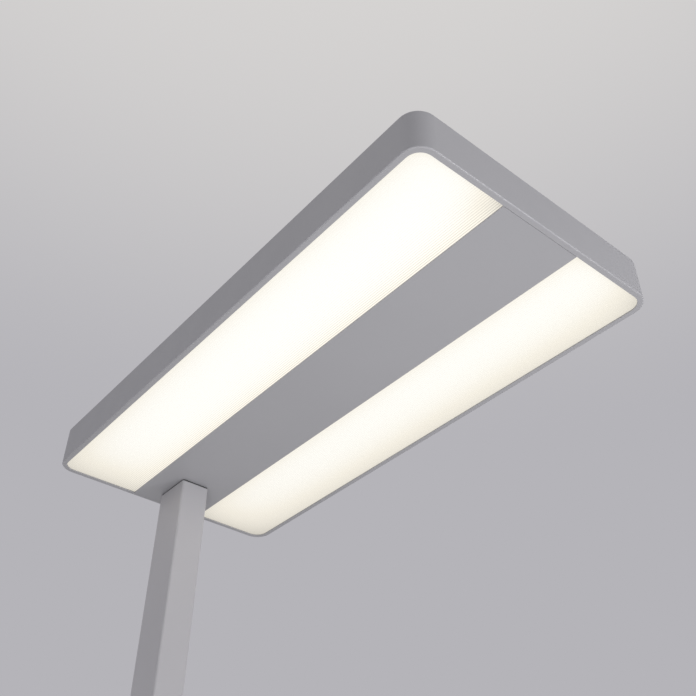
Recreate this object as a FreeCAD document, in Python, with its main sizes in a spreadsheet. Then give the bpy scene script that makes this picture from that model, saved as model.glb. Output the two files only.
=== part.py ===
import FreeCAD, Part
import math
import os
import re

import Sketcher

os.makedirs("parts", exist_ok=True)
document = FreeCAD.newDocument("office_floor_lamp")

# An office floor lamp: a weighted plate, a rectangular mast with a keypad, and a long flat head
# carried near one end. +Z is up, +X runs along the head to its free end, and the origin is on the
# floor under the mast's axis. All sizes are millimetres.

SIZES = [
    # clearances
    ("seat_gap", 0.3, "beside a piece that is laid or pushed into another"),
    ("thread_gap", 0.1, "radial, between a screw and its tapped hole"),
    ("hole_gap", 0.3, "radial, between a screw and its clearance hole"),
    ("pivot_gap", 0.05, "radial, between the rocker and its pin"),
    ("pin_gap", 0.02, "radial, between the pin and the bezel's ears"),
    ("hole_runout", 2, "blind tapped holes beyond their screws' tips"),
    # head shell
    ("underside_height", 1900, "floor to the head's underside"),
    ("head_length", 706, "head along X"),
    ("head_width", 330, "head along Y"),
    ("head_height", 50, "head along Z"),
    ("head_setback", 54, "mast axis to the head's rear face"),
    ("corner_radius", 22, "head's upright corners, outside"),
    ("bottom_edge_radius", 1.5, "head's lower outer edge"),
    ("frame_wall", 2, "head frame's wall"),
    ("lip_width", 6.4, "lip seen round the underside"),
    ("lip_thickness", 1.5, "lip and centre strip"),
    ("ledge_width", 7, "inner ledge under the top plate"),
    ("top_thickness", 2, "top plate, and the ledge under it"),
    ("strip_width", 103.7, "centre strip across Y"),
    # head inside
    ("diffuser_thickness", 3, "diffuser panels"),
    ("spine_width", 92, "spine channel across Y"),
    ("spine_thickness", 2, "spine sheet"),
    ("spine_flange", 10, "spine's top flanges"),
    ("tray_height", 21.5, "light tray above the diffuser"),
    ("tray_thickness", 1, "light tray sheet"),
    ("board_thickness", 1.6, "circuit boards"),
    ("led_board_length", 620, "downlight board along X"),
    ("led_board_width", 90, "downlight board across Y"),
    ("led_pitch_x", 29, "downlight chips along X"),
    ("led_pitch_y", 44, "downlight chips across Y"),
    ("chip_size", 3, "light chip's side"),
    ("chip_thickness", 0.8, "light chip's height"),
    ("window_length", 560, "uplight window along X"),
    ("window_width", 70, "uplight window across Y"),
    ("window_radius", 8, "uplight window's corners"),
    ("cover_flange", 5, "uplight cover beyond its window"),
    ("uplight_board_width", 36, "uplight board across Y"),
    ("uplight_pitch", 29, "uplight chips along X"),
    # mast seat in the head
    ("mount_plate_length", 88, "load plate along X"),
    ("mount_plate_width", 80, "load plate across Y"),
    ("mount_plate_thickness", 6, "load plate"),
    ("neck_depth", 46, "head block's neck along X"),
    ("neck_width", 28, "head block's neck across Y"),
    ("plug_height", 90, "head block inside the mast"),
    ("lead_bore_radius", 6, "lead way through the head block"),
    ("bolt_x", 17, "M6 bolts from the mast axis along X"),
    ("bolt_y", 8, "M6 bolts from the mast axis along Y"),
    ("bolt_radius", 3, "M6 bolts and screws"),
    ("bolt_head_radius", 5, "M6 cap head"),
    ("bolt_head_height", 6, "M6 cap head"),
    ("bolt_reach", 18, "M6 bolts' thread in the blocks"),
    ("sunk_bolt_head_radius", 6, "M6 countersunk head"),
    # head fasteners
    ("small_screw_radius", 1.5, "M3 screws"),
    ("small_head_radius", 2.9, "M3 countersunk and pan heads"),
    ("small_head_height", 1.8, "M3 pan head"),
    ("small_screw_length", 6, "M3 screws under the head"),
    ("top_screw_end", 143, "outer top plate screws from the head's ends"),
    ("end_screw_y", 80, "top plate's end screws from the centre line"),
    ("stud_radius", 2, "M4 weld studs on the centre strip"),
    ("stud_height", 9, "weld stud above the strip"),
    ("nut_radius", 3.9, "M4 nut across corners, half"),
    ("nut_height", 3.2, "M4 nut"),
    ("stud_first_x", 72, "first pair of studs from the mast axis"),
    ("stud_end", 50, "last pair of studs from the head's free end"),
    ("stud_y", 39, "studs from the centre line"),
    ("tray_screw_first_x", 30, "first tray screw from the mast axis"),
    ("tray_screw_end", 67, "last tray screw from the head's free end"),
    ("tray_screw_level", 12, "tray screws above the underside"),
    # electrical pieces
    ("driver_start", 112, "LED driver's near face from the mast axis"),
    ("driver_length", 240, "LED driver along X"),
    ("driver_width", 60, "LED driver across Y"),
    ("driver_height", 28, "LED driver"),
    ("driver_radius", 2, "LED driver's upright edges"),
    ("driver_tab", 12, "driver's fixing tabs along X"),
    ("driver_tab_width", 30, "driver's fixing tabs across Y"),
    ("driver_tab_thickness", 2, "driver's fixing tabs"),
    ("terminal_start", 62, "terminal block's near face from the mast axis"),
    ("terminal_length", 22, "terminal block along X"),
    ("terminal_width", 28, "terminal block across Y"),
    ("terminal_height", 16, "terminal block"),
    ("terminal_y", -18, "terminal block's middle"),
    ("terminal_screw_y", 10, "terminal block's screws from its middle"),
    ("terminal_recess", 1, "terminal block's screw heads below its top"),
    ("entry_depth", 9, "terminal block's wire entries"),
    ("core_radius", 1.1, "single cores between terminals and driver"),
    ("core_pitch", 5.4, "terminal block's poles"),
    ("core_level", 5.4, "single cores above the spine's web"),
    ("lead_radius", 2, "control lead and board leads"),
    ("exit_run", 26, "driver to the leads' way through the spine"),
    ("exit_y", 12, "driver's lead sockets from the centre line"),
    ("connector_length", 12, "board connector along X"),
    ("connector_width", 9, "board connector across Y"),
    ("connector_height", 9, "board connector"),
    ("grommet_radius", 3.6, "grommet in its hole"),
    ("grommet_flange_radius", 5.2, "grommet's flanges"),
    ("grommet_flange", 1, "grommet's flanges"),
    # mast
    ("mast_depth", 60, "mast along X"),
    ("mast_width", 40, "mast along Y"),
    ("mast_wall", 2, "mast wall"),
    ("mast_radius", 3, "mast's outer corners"),
    ("mast_inner_radius", 1, "mast's inner corners"),
    ("shadow_gap", 2.5, "mast's top to the head's underside"),
    ("collar_inset", 1, "dark collar inside the mast's outline"),
    ("rear_screw_radius", 2.5, "M5 screws in the mast's rear face"),
    ("rear_head_radius", 4.7, "M5 pan head"),
    ("rear_head_height", 2.6, "M5 pan head"),
    ("rear_screw_length", 14, "M5 screws under the head"),
    ("rear_screw_low", 15, "first M5 screw from the block's near end"),
    ("rear_screw_pitch", 22, "M5 screws along Z"),
    # base
    ("base_length", 440, "base plate along X"),
    ("base_width", 300, "base plate along Y"),
    ("base_thickness", 10, "base plate"),
    ("base_setback", 90, "mast axis to the plate's rear edge"),
    ("base_radius", 25, "base plate's upright corners"),
    ("base_edge_radius", 2, "base plate's upper edge"),
    ("mat_thickness", 2, "anti-slip mat under the plate"),
    ("mat_inset", 4, "mat inside the plate's outline"),
    ("mat_window_margin", 9, "mat's window beyond the bolts' axes"),
    ("foot_block_height", 50, "foot block inside the mast"),
    # cable gland
    ("gland_height", 104, "gland axis above the floor"),
    ("gland_thread_radius", 6, "M12 gland body"),
    ("gland_bore_radius", 3.7, "way for a 7 mm mains lead"),
    ("gland_flange_radius", 8.5, "gland's hexagon across corners, half"),
    ("gland_flange", 4, "gland's hexagon"),
    ("gland_cap_radius", 7, "gland's domed cap"),
    ("gland_cap", 11, "gland's domed cap"),
    ("gland_tail", 9, "gland thread inside the mast"),
    ("gland_nut", 4, "gland's locknut"),
    # control panel
    ("control_height", 1100, "keypad's middle above the floor"),
    ("opening_width", 26, "mast opening across Y"),
    ("opening_height", 92, "mast opening along Z"),
    ("opening_radius", 2, "mast opening's corners"),
    ("bezel_width", 32, "bezel across Y"),
    ("bezel_height", 112, "bezel along Z"),
    ("bezel_thickness", 2.5, "bezel's front plate"),
    ("bezel_radius", 4, "bezel's corners"),
    ("bezel_edge", 0.8, "bezel's front edge"),
    ("skirt_wall", 1.5, "bezel's skirt in the mast"),
    ("skirt_depth", 16, "bezel's skirt in the mast"),
    ("bezel_screw_z", 51, "bezel screws from its middle"),
    ("key_width", 16, "key apertures across Y"),
    ("key_radius", 4, "key apertures' corners"),
    ("power_z", 27, "power button above the keypad's middle"),
    ("rocker_z", -12, "rocker below the keypad's middle"),
    ("rocker_opening", 44, "rocker's aperture along Z"),
    ("rocker_end_gap", 0.7, "rocker's ends, which swing outwards"),
    ("key_proud", 0.8, "keys in front of the bezel"),
    ("key_cap", 2.5, "rocker cap's thickness"),
    ("key_flange", 1.5, "power button's flange behind the bezel"),
    ("flange_thickness", 1.2, "power button's flange"),
    ("key_edge", 0.5, "keys' front edge"),
    ("stem_radius", 2.5, "key stems that press the domes"),
    ("stem_reach", 8, "key stems behind the mast's face"),
    ("dome_radius", 4, "rubber dome at the board"),
    ("board_depth", 11, "control board behind the mast's face"),
    ("pin_depth", 2.5, "rocker pin behind the mast's face"),
    ("pin_radius", 1, "rocker pin"),
    ("boss_half_height", 3.5, "rocker's boss and the bezel's ears"),
    ("boss_depth", 5, "rocker's boss behind the mast's face"),
    ("ear_thickness", 2.5, "bezel's ears for the pin"),
    ("rocker_stem_z", 16, "rocker's stems from its pin"),
    ("post_radius", 2.5, "bezel's posts for the board"),
    ("post_screw_radius", 1.1, "M2.2 board screws"),
    ("post_head_radius", 2, "M2.2 pan head"),
    ("post_head_height", 1.3, "M2.2 pan head"),
    ("post_screw_length", 6, "M2.2 screws under the head"),
    ("back_thickness", 2, "keypad's rear cover"),
    ("back_rim", 1.4, "rear cover's rim inside the skirt"),
    ("lead_z", 16, "control lead above the keypad's middle"),
    ("lead_hole_radius", 3, "control lead's hole in the rear cover"),
    ("lead_x", -14, "control lead's run up the mast"),
    ("lead_top_run", 24, "control lead above the head's underside"),
    ("lead_bend", 12, "control lead's bends at the keypad and in the head"),
    ("lead_slant_low", 90, "foot of the control lead's slant, below the head block"),
    ("lead_slant_high", 10, "top of the control lead's slant, below the head block"),
    ("lead_slant_bend", 90, "control lead's bends at its slant"),
]

# How many of each there are, which a change of size leaves alone.
LED_COLUMNS = 21
LED_ROWS = 2
UPLIGHT_COLUMNS = 19
TOP_SCREW_COLUMNS = 3
STUD_COLUMNS = 3
TRAY_SCREW_COLUMNS = 4
SIDES = {"left": 1, "right": -1}

# Angles of tapered pads, in degrees.
COUNTERSINK = 45
DOME_TAPER = -20

# Shares: a socket's corners of the shank's or the head's radius, its depth of the shank's radius or
# the head's height, and the gland cap's rounding of the cap's wall.
SUNK_SOCKET = 0.75
RAISED_SOCKET = 0.5
SOCKET_DEPTH = 0.6
CAP_ROUNDING = 0.7

sheet = document.addObject("Spreadsheet::Sheet", "Dims")
sheet.Label = "Dims"
for row, (alias, value, note) in enumerate(SIZES, start=1):
    sheet.set(f"A{row}", alias)
    sheet.set(f"B{row}", str(value))
    sheet.set(f"C{row}", note)
    sheet.setAlias(f"B{row}", alias)
document.recompute()
ALIASES = {alias for alias, value, note in SIZES}

# Places worked out from the sizes. In the head z is 0 at its underside, in the mast at the mast's
# foot, and on the keypad x is 0 at the mast's front face.
HEAD_X = "(head_length / 2 - head_setback)"
HEAD_REAR = "(-head_setback)"
HEAD_FRONT = "(head_length - head_setback)"
HEAD_INSIDE_LENGTH = "(head_length - 2 * frame_wall)"
HEAD_INSIDE_WIDTH = "(head_width - 2 * frame_wall)"
INSIDE_RADIUS = "(corner_radius - frame_wall)"
LAID_RADIUS = "(corner_radius - frame_wall - seat_gap)"
PLATE_LEVEL = "(head_height - top_thickness)"
LEDGE_LEVEL = "(head_height - 2 * top_thickness)"
WEB_TOP = "(lip_thickness + spine_thickness)"
MOUNT_TOP = "(lip_thickness + spine_thickness + mount_plate_thickness)"
DIFFUSER_TOP = "(lip_thickness + diffuser_thickness)"
ROOF = "(lip_thickness + diffuser_thickness + tray_height)"
ROOF_UNDER = f"({ROOF} - tray_thickness)"
BOARD_UNDER = f"({ROOF_UNDER} - board_thickness)"
BAY_INNER = "(spine_width / 2)"
BAY_OUTER = "(head_width / 2 - frame_wall - seat_gap)"
BAY_Y = f"(({BAY_INNER} + {BAY_OUTER}) / 2)"
LEDGE_SCREW_INSET = "(frame_wall + ledge_width / 2)"
FLANGE_SCREW_Y = "(spine_width / 2 + spine_flange / 2)"
DRIVER_END = "(driver_start + driver_length)"
EXIT_X = f"({DRIVER_END} + exit_run)"
CONNECTOR_Y = f"({BAY_Y} - led_board_width / 2 + connector_width / 2)"
LEAD_LEVEL = f"({BOARD_UNDER} - connector_height / 2)"
BASE_TOP = "(mat_thickness + base_thickness)"
BASE_X = "(base_length / 2 - base_setback)"
MAST_TOP = "(underside_height - shadow_gap)"
MAST_INSIDE_DEPTH = "(mast_depth - 2 * mast_wall)"
MAST_INSIDE_WIDTH = "(mast_width - 2 * mast_wall)"
PLUG_DEPTH = f"({MAST_INSIDE_DEPTH} - 2 * seat_gap)"
PLUG_WIDTH = f"({MAST_INSIDE_WIDTH} - 2 * seat_gap)"
PLUG_RADIUS = "mast_inner_radius"
REAR_WALL = f"(-{MAST_INSIDE_DEPTH} / 2)"
REAR_HOLE_END = "(rear_screw_length + hole_runout - mast_depth / 2)"
KEY_FRONT = "(bezel_thickness + key_proud)"
SKIRT_WIDTH = "(opening_width - 2 * seat_gap)"
SKIRT_HEIGHT = "(opening_height - 2 * seat_gap)"
SKIRT_INSIDE_WIDTH = f"({SKIRT_WIDTH} - 2 * skirt_wall)"
SKIRT_INSIDE_HEIGHT = f"({SKIRT_HEIGHT} - 2 * skirt_wall)"
ROCKER_HEIGHT = "(rocker_opening - 2 * rocker_end_gap)"
KEY_CAP_WIDTH = "(key_width - 2 * seat_gap)"
POST_Z = f"({SKIRT_INSIDE_HEIGHT} / 2 - post_radius - seat_gap)"
DOME_TIP = "(stem_reach + seat_gap)"
BOARD_BACK = "(board_depth + board_thickness)"


def bound(text):
    """An expression with each named size read from the sheet."""
    return re.sub(
        r"[a-z]\w*",
        lambda word: f"Dims.{word.group()}" if word.group() in ALIASES else word.group(),
        str(text),
    )


def number(text):
    """What an expression is worth, in mm."""
    return float(sheet.evalExpression(bound(text)))


def constrain(sketch, kind, places, size):
    """A sketch constraint whose size follows an expression."""
    index = sketch.addConstraint(Sketcher.Constraint(kind, *places, number(size)))
    sketch.setExpression(f"Constraints[{index}]", bound(size))


class Disc:
    """A circle at x, y."""

    def __init__(self, x, y, radius):
        self.x, self.y, self.radius = x, y, radius

    def draw(self, sketch):
        centre = FreeCAD.Vector(number(self.x), number(self.y), 0)
        circle = Part.Circle(centre, FreeCAD.Vector(0, 0, 1), number(self.radius))
        index = sketch.addGeometry(circle, False)
        constrain(sketch, "Radius", (index,), self.radius)
        constrain(sketch, "DistanceX", (-1, 1, index, 3), self.x)
        constrain(sketch, "DistanceY", (-1, 1, index, 3), self.y)


class Rectangle:
    """A rectangle centred on x, y, with the corners that `rounded` names rounded.

    Corners count from the one with the lowest x and y, anticlockwise.
    """

    def __init__(self, x, y, length, width, radius=None, rounded=(0, 1, 2, 3)):
        self.left, self.right = f"({x}) - ({length}) / 2", f"({x}) + ({length}) / 2"
        self.low, self.high = f"({y}) - ({width}) / 2", f"({y}) + ({width}) / 2"
        self.radius = radius
        self.rounded = rounded if radius else ()

    def draw(self, sketch):
        xs = [number(self.left), number(self.right)]
        ys = [number(self.low), number(self.high)]
        corners = [(xs[0], ys[0]), (xs[1], ys[0]), (xs[1], ys[1]), (xs[0], ys[1])]
        radius = number(self.radius) if self.rounded else 0
        along = [(1, 0), (0, 1), (-1, 0), (0, -1)]
        lines = []
        for side in range(4):
            trim = [radius if corner % 4 in self.rounded else 0 for corner in (side, side + 1)]
            start = [c + trim[0] * d for c, d in zip(corners[side], along[side])]
            end = [c - trim[1] * d for c, d in zip(corners[(side + 1) % 4], along[side])]
            edge = Part.LineSegment(FreeCAD.Vector(*start, 0), FreeCAD.Vector(*end, 0))
            lines.append(sketch.addGeometry(edge, False))
            level = "Horizontal" if side % 2 == 0 else "Vertical"
            sketch.addConstraint(Sketcher.Constraint(level, lines[side]))
        arcs = []
        for corner in range(4):
            before, after = lines[corner - 1], lines[corner]
            if corner not in self.rounded:
                sketch.addConstraint(Sketcher.Constraint("Coincident", before, 2, after, 1))
                continue
            inward = [radius * (after_d - before_d) for after_d, before_d in
                      zip(along[corner], along[corner - 1])]
            centre = FreeCAD.Vector(*[c + d for c, d in zip(corners[corner], inward)], 0)
            circle = Part.Circle(centre, FreeCAD.Vector(0, 0, 1), radius)
            start_angle = math.pi + corner * math.pi / 2
            arc = Part.ArcOfCircle(circle, start_angle, start_angle + math.pi / 2)
            index = sketch.addGeometry(arc, False)
            sketch.addConstraint(Sketcher.Constraint("Tangent", before, 2, index, 1))
            sketch.addConstraint(Sketcher.Constraint("Tangent", index, 2, after, 1))
            if arcs:
                sketch.addConstraint(Sketcher.Constraint("Equal", arcs[0], index))
            else:
                constrain(sketch, "Radius", (index,), self.radius)
            arcs.append(index)
        constrain(sketch, "DistanceY", (-1, 1, lines[0], 1), self.low)
        constrain(sketch, "DistanceX", (-1, 1, lines[1], 1), self.right)
        constrain(sketch, "DistanceY", (-1, 1, lines[2], 1), self.high)
        constrain(sketch, "DistanceX", (-1, 1, lines[3], 1), self.left)


class Hexagon:
    """A hexagon at x, y, whose corners lie on a circle of the given radius."""

    def __init__(self, x, y, radius):
        self.x, self.y, self.radius = x, y, radius

    def draw(self, sketch):
        centre = FreeCAD.Vector(number(self.x), number(self.y), 0)
        radius = number(self.radius)
        circle = Part.Circle(centre, FreeCAD.Vector(0, 0, 1), radius)
        ring = sketch.addGeometry(circle, True)
        turns = [math.radians(60 * corner) for corner in range(7)]
        points = [centre + FreeCAD.Vector(radius * math.cos(a), radius * math.sin(a), 0)
                  for a in turns]
        lines = [sketch.addGeometry(Part.LineSegment(a, b), False)
                 for a, b in zip(points, points[1:])]
        for side, line in enumerate(lines):
            sketch.addConstraint(
                Sketcher.Constraint("Coincident", line, 2, lines[(side + 1) % 6], 1)
            )
            sketch.addConstraint(Sketcher.Constraint("PointOnObject", line, 1, ring))
            if side:
                sketch.addConstraint(Sketcher.Constraint("Equal", lines[0], line))
        sketch.addConstraint(Sketcher.Constraint("Horizontal", lines[1]))
        constrain(sketch, "Radius", (ring,), self.radius)
        constrain(sketch, "DistanceX", (-1, 1, ring, 3), self.x)
        constrain(sketch, "DistanceY", (-1, 1, ring, 3), self.y)


class Outline:
    """A closed outline of straight sides through the given points, all along the two axes."""

    def __init__(self, points):
        self.points = points

    def draw(self, sketch):
        places = [FreeCAD.Vector(number(x), number(y), 0) for x, y in self.points]
        count = len(places)
        lines = [
            sketch.addGeometry(Part.LineSegment(places[i], places[(i + 1) % count]), False)
            for i in range(count)
        ]
        for i, line in enumerate(lines):
            sketch.addConstraint(
                Sketcher.Constraint("Coincident", line, 2, lines[(i + 1) % count], 1)
            )
        for line, (x, y) in zip(lines, self.points):
            constrain(sketch, "DistanceX", (-1, 1, line, 1), x)
            constrain(sketch, "DistanceY", (-1, 1, line, 1), y)


def new_piece(name, x="0", y="0", z="0"):
    """A sub-part, placed with its own origin at x, y, z."""
    body = document.addObject("PartDesign::Body", name)
    body.Label = name
    for axis, place in zip("xyz", (x, y, z)):
        body.setExpression(f"Placement.Base.{axis}", bound(place))
    return body


def head_piece(name):
    """A sub-part of the head, drawn from the mast axis and the head's underside."""
    return new_piece(name, z="underside_height")


def keypad_piece(name):
    """A sub-part of the keypad, drawn from its middle on the mast's front face."""
    return new_piece(name, x="mast_depth / 2", z="control_height")


def draw(body, plane, level, profiles):
    """A sketch of the profiles, across one axis at a level on it."""
    sketch = body.newObject("Sketcher::SketchObject", "outline")
    origin = [item for item in body.Origin.OriginFeatures if item.Role == plane]
    sketch.AttachmentSupport = [(origin[0], "")]
    sketch.MapMode = "FlatFace"
    shift = f"-({level})" if plane == "XZ_Plane" else f"({level})"
    sketch.setExpression("AttachmentOffset.Base.z", bound(shift))
    for profile in profiles:
        profile.draw(sketch)
    return sketch


def pad(body, profiles, start, end, plane="XY_Plane", taper=0):
    """Material from one level to a higher one, wider towards the end by the taper's angle."""
    feature = body.newObject("PartDesign::Pad", "pad")
    feature.Profile = draw(body, plane, start, profiles)
    feature.setExpression("Length", bound(f"({end}) - ({start})"))
    feature.Reversed = plane == "XZ_Plane"
    feature.TaperAngle = taper
    return feature


def pocket(body, profiles, start, end, plane="XY_Plane"):
    """A cut from one level to a higher one."""
    feature = body.newObject("PartDesign::Pocket", "pocket")
    feature.Profile = draw(body, plane, start if plane == "XZ_Plane" else end, profiles)
    feature.setExpression("Length", bound(f"({end}) - ({start})"))
    return feature


def edges_at(body, chosen):
    """The names of the edges of the sub-part so far that `chosen` picks."""
    document.recompute()
    shape = body.Tip.Shape
    return [f"Edge{i}" for i, edge in enumerate(shape.Edges, start=1) if chosen(edge)]


def dress(body, kind, size_name, size, chosen):
    """A fillet or a chamfer on the edges that `chosen` picks."""
    names = edges_at(body, chosen)
    base = body.Tip
    feature = body.newObject(f"PartDesign::{kind}", kind.lower())
    feature.Base = (base, names)
    feature.setExpression(size_name, bound(size))
    return feature


def fillet(body, radius, chosen):
    """A fillet of this radius on the edges that `chosen` picks."""
    return dress(body, "Fillet", "Radius", radius, chosen)


def chamfer(body, size, chosen):
    """A chamfer of this size on the edges that `chosen` picks."""
    return dress(body, "Chamfer", "Size", size, chosen)


# Lengths that differ by less than this, in mm, count as equal.
NEAR = 1e-4


def lies_at(axis, level):
    """Picks edges that lie wholly at a level on an axis, 0 to 2 for x to z."""
    place = number(level)

    def chosen(edge):
        box = edge.BoundBox
        low, high = ((box.XMin, box.XMax), (box.YMin, box.YMax), (box.ZMin, box.ZMax))[axis]
        return abs(low - place) < NEAR and abs(high - place) < NEAR

    return chosen


def round_at(axis, level, radius):
    """Picks whole circles of one radius at a level on an axis."""
    at_level, size = lies_at(axis, level), number(radius)

    def chosen(edge):
        curve = edge.Curve
        return at_level(edge) and isinstance(curve, Part.Circle) and abs(curve.Radius - size) < NEAR

    return chosen


def outermost(axis, level, length_limit):
    """Picks the edges at a level that lie on the outline of a rectangle of this length and width."""
    at_level = lies_at(axis, level)
    sizes = [number(limit) for limit in length_limit]
    spans = ("YLength", "ZLength") if axis == 0 else ("XLength", "YLength")

    def chosen(edge):
        if not at_level(edge):
            return False
        box = edge.BoundBox
        middle = box.Center
        across = [abs(v) for v in ((middle.y, middle.z) if axis == 0 else (middle.x, middle.y))]
        spread = [getattr(box, span) / 2 for span in spans]
        return any(c + s > size / 2 - NEAR for c, s, size in zip(across, spread, sizes))

    return chosen


def grid(columns, first, pitch, across):
    """Points in columns along one axis and at each given place across it."""
    return [(f"{first} + {column} * {pitch}", place)
            for column in range(columns) for place in across]


def pattern(body, seed, columns, pitch_x, rows=1, pitch_y=None):
    """The seed repeated along X, and across Y where there are rows."""
    sketch = seed.Profile[0]
    repeat = body.newObject("PartDesign::LinearPattern", "pattern")
    repeat.Originals = [seed]
    repeat.Direction = (sketch, ["H_Axis"])
    repeat.setExpression("Length", bound(f"{columns - 1} * {pitch_x}"))
    repeat.Occurrences = columns
    if rows > 1:
        repeat.Direction2 = (sketch, ["V_Axis"])
        repeat.setExpression("Length2", bound(f"{rows - 1} * {pitch_y}"))
        repeat.Occurrences2 = rows
    body.Tip = repeat
    return repeat


def sunk_screws(body, points, face, length, radius, head_radius, plane="XY_Plane", head_high=True):
    """Countersunk screws whose heads lie flush with a face."""
    depth = f"({head_radius} - {radius})"
    drive = [Hexagon(x, y, f"{radius} * {SUNK_SOCKET}") for x, y in points]
    shanks = [Disc(x, y, radius) for x, y in points]
    if head_high:
        pad(body, shanks, f"{face} - {length}", f"{face} - {depth}", plane)
        pad(body, shanks, f"{face} - {depth}", face, plane, COUNTERSINK)
        pocket(body, drive, f"{face} - {radius} * {SOCKET_DEPTH}", face, plane)
    else:
        heads = [Disc(x, y, head_radius) for x, y in points]
        pad(body, shanks, f"{face} + {depth}", f"{face} + {length}", plane)
        pad(body, heads, face, f"{face} + {depth}", plane, -COUNTERSINK)
        pocket(body, drive, face, f"{face} + {radius} * {SOCKET_DEPTH}", plane)


def raised_screws(body, points, seat, length, radius, head_radius, head_height,
                  plane="XY_Plane", head_high=True):
    """Screws whose heads stand on a seat, with a hexagon socket."""
    side = "+" if head_high else "-"
    crown = f"({seat} {side} {head_height})"
    socket = f"({crown} {'-' if head_high else '+'} {head_height} * {SOCKET_DEPTH})"
    tip = f"({seat} {'-' if head_high else '+'} {length})"
    levels = (lambda a, b: (a, b)) if head_high else (lambda a, b: (b, a))
    pad(body, [Disc(x, y, radius) for x, y in points], *levels(tip, seat), plane)
    pad(body, [Disc(x, y, head_radius) for x, y in points], *levels(seat, crown), plane)
    pocket(body, [Hexagon(x, y, f"{head_radius} * {RAISED_SOCKET}") for x, y in points],
           *levels(socket, crown), plane)


def rounded_route(points, radii):
    """A wire through the points, with an arc of each given radius in place of each inner one."""
    places = [FreeCAD.Vector(*[number(value) for value in point]) for point in points]
    edges, start = [], places[0]
    for before, corner, after, radius in zip(places, places[1:], places[2:], radii):
        back, ahead = (before - corner).normalize(), (after - corner).normalize()
        half_turn = (math.pi - back.getAngle(ahead)) / 2
        trim = number(radius) * math.tan(half_turn)
        first, last = corner + back * trim, corner + ahead * trim
        inward = (back + ahead).normalize()
        middle = corner + inward * (number(radius) / math.cos(half_turn) - number(radius))
        edges += [Part.LineSegment(start, first).toShape(), Part.Arc(first, middle, last).toShape()]
        start = last
    edges.append(Part.LineSegment(start, places[-1]).toShape())
    return Part.Wire(edges)


def lead(name, routes, radius, z):
    """A lead, or several, of round section along their routes."""
    solids = []
    for wire in routes:
        start = wire.Edges[0]
        at = start.valueAt(start.FirstParameter)
        along = start.tangentAt(start.FirstParameter)
        ring = Part.Wire([Part.Circle(at, along, number(radius)).toShape()])
        solids.append(wire.makePipeShell([ring], True, True))
    feature = document.addObject("Part::Feature", name)
    feature.Label = name
    feature.Shape = Part.makeCompound(solids) if len(solids) > 1 else solids[0]
    feature.Placement = FreeCAD.Placement(FreeCAD.Vector(0, 0, number(z)), FreeCAD.Rotation())
    return feature


# Where the fasteners are.
MAST_BOLTS = [(f"{sx} * bolt_x", f"{sy} * bolt_y") for sx in (1, -1) for sy in (1, -1)]
LEDGE_Y = f"(head_width / 2 - {LEDGE_SCREW_INSET})"
TOP_COLUMN = f"({HEAD_REAR} + top_screw_end)"
TOP_PITCH = f"((head_length - 2 * top_screw_end) / {TOP_SCREW_COLUMNS - 1})"
STUD_PITCH = f"(({HEAD_FRONT} - stud_end - stud_first_x) / {STUD_COLUMNS - 1})"
TRAY_PITCH = f"(({HEAD_FRONT} - tray_screw_end - tray_screw_first_x) / {TRAY_SCREW_COLUMNS - 1})"
LEDGE_SCREWS = grid(TOP_SCREW_COLUMNS, TOP_COLUMN, TOP_PITCH, [LEDGE_Y, f"-{LEDGE_Y}"]) + [
    (end, f"{sy} * end_screw_y")
    for end in (f"{HEAD_REAR} + {LEDGE_SCREW_INSET}", f"{HEAD_FRONT} - {LEDGE_SCREW_INSET}")
    for sy in (1, -1)
]
FLANGE_SCREWS = grid(
    TOP_SCREW_COLUMNS, TOP_COLUMN, TOP_PITCH, [FLANGE_SCREW_Y, f"-{FLANGE_SCREW_Y}"]
)
STUDS = grid(STUD_COLUMNS, "stud_first_x", STUD_PITCH, ["stud_y", "-stud_y"])
TRAY_SCREWS = grid(TRAY_SCREW_COLUMNS, "tray_screw_first_x", TRAY_PITCH, ["tray_screw_level"])
DRIVER_SCREWS = [("driver_start - driver_tab / 2", "0"), (f"{DRIVER_END} + driver_tab / 2", "0")]
TERMINAL_SCREWS = [("terminal_start + terminal_length / 2", f"terminal_y {s} terminal_screw_y")
                   for s in "+-"]
BEZEL_SCREWS = [("0", "bezel_screw_z"), ("0", "-bezel_screw_z")]
POSTS = [("0", POST_Z), ("0", f"-{POST_Z}")]
REAR_TOP_SCREWS = [("0", f"{MAST_TOP} - rear_screw_low - {i} * rear_screw_pitch") for i in range(2)]
REAR_FOOT_SCREWS = [("0", f"{BASE_TOP} + rear_screw_low"),
                    ("0", f"{BASE_TOP} + rear_screw_low + rear_screw_pitch")]


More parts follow.
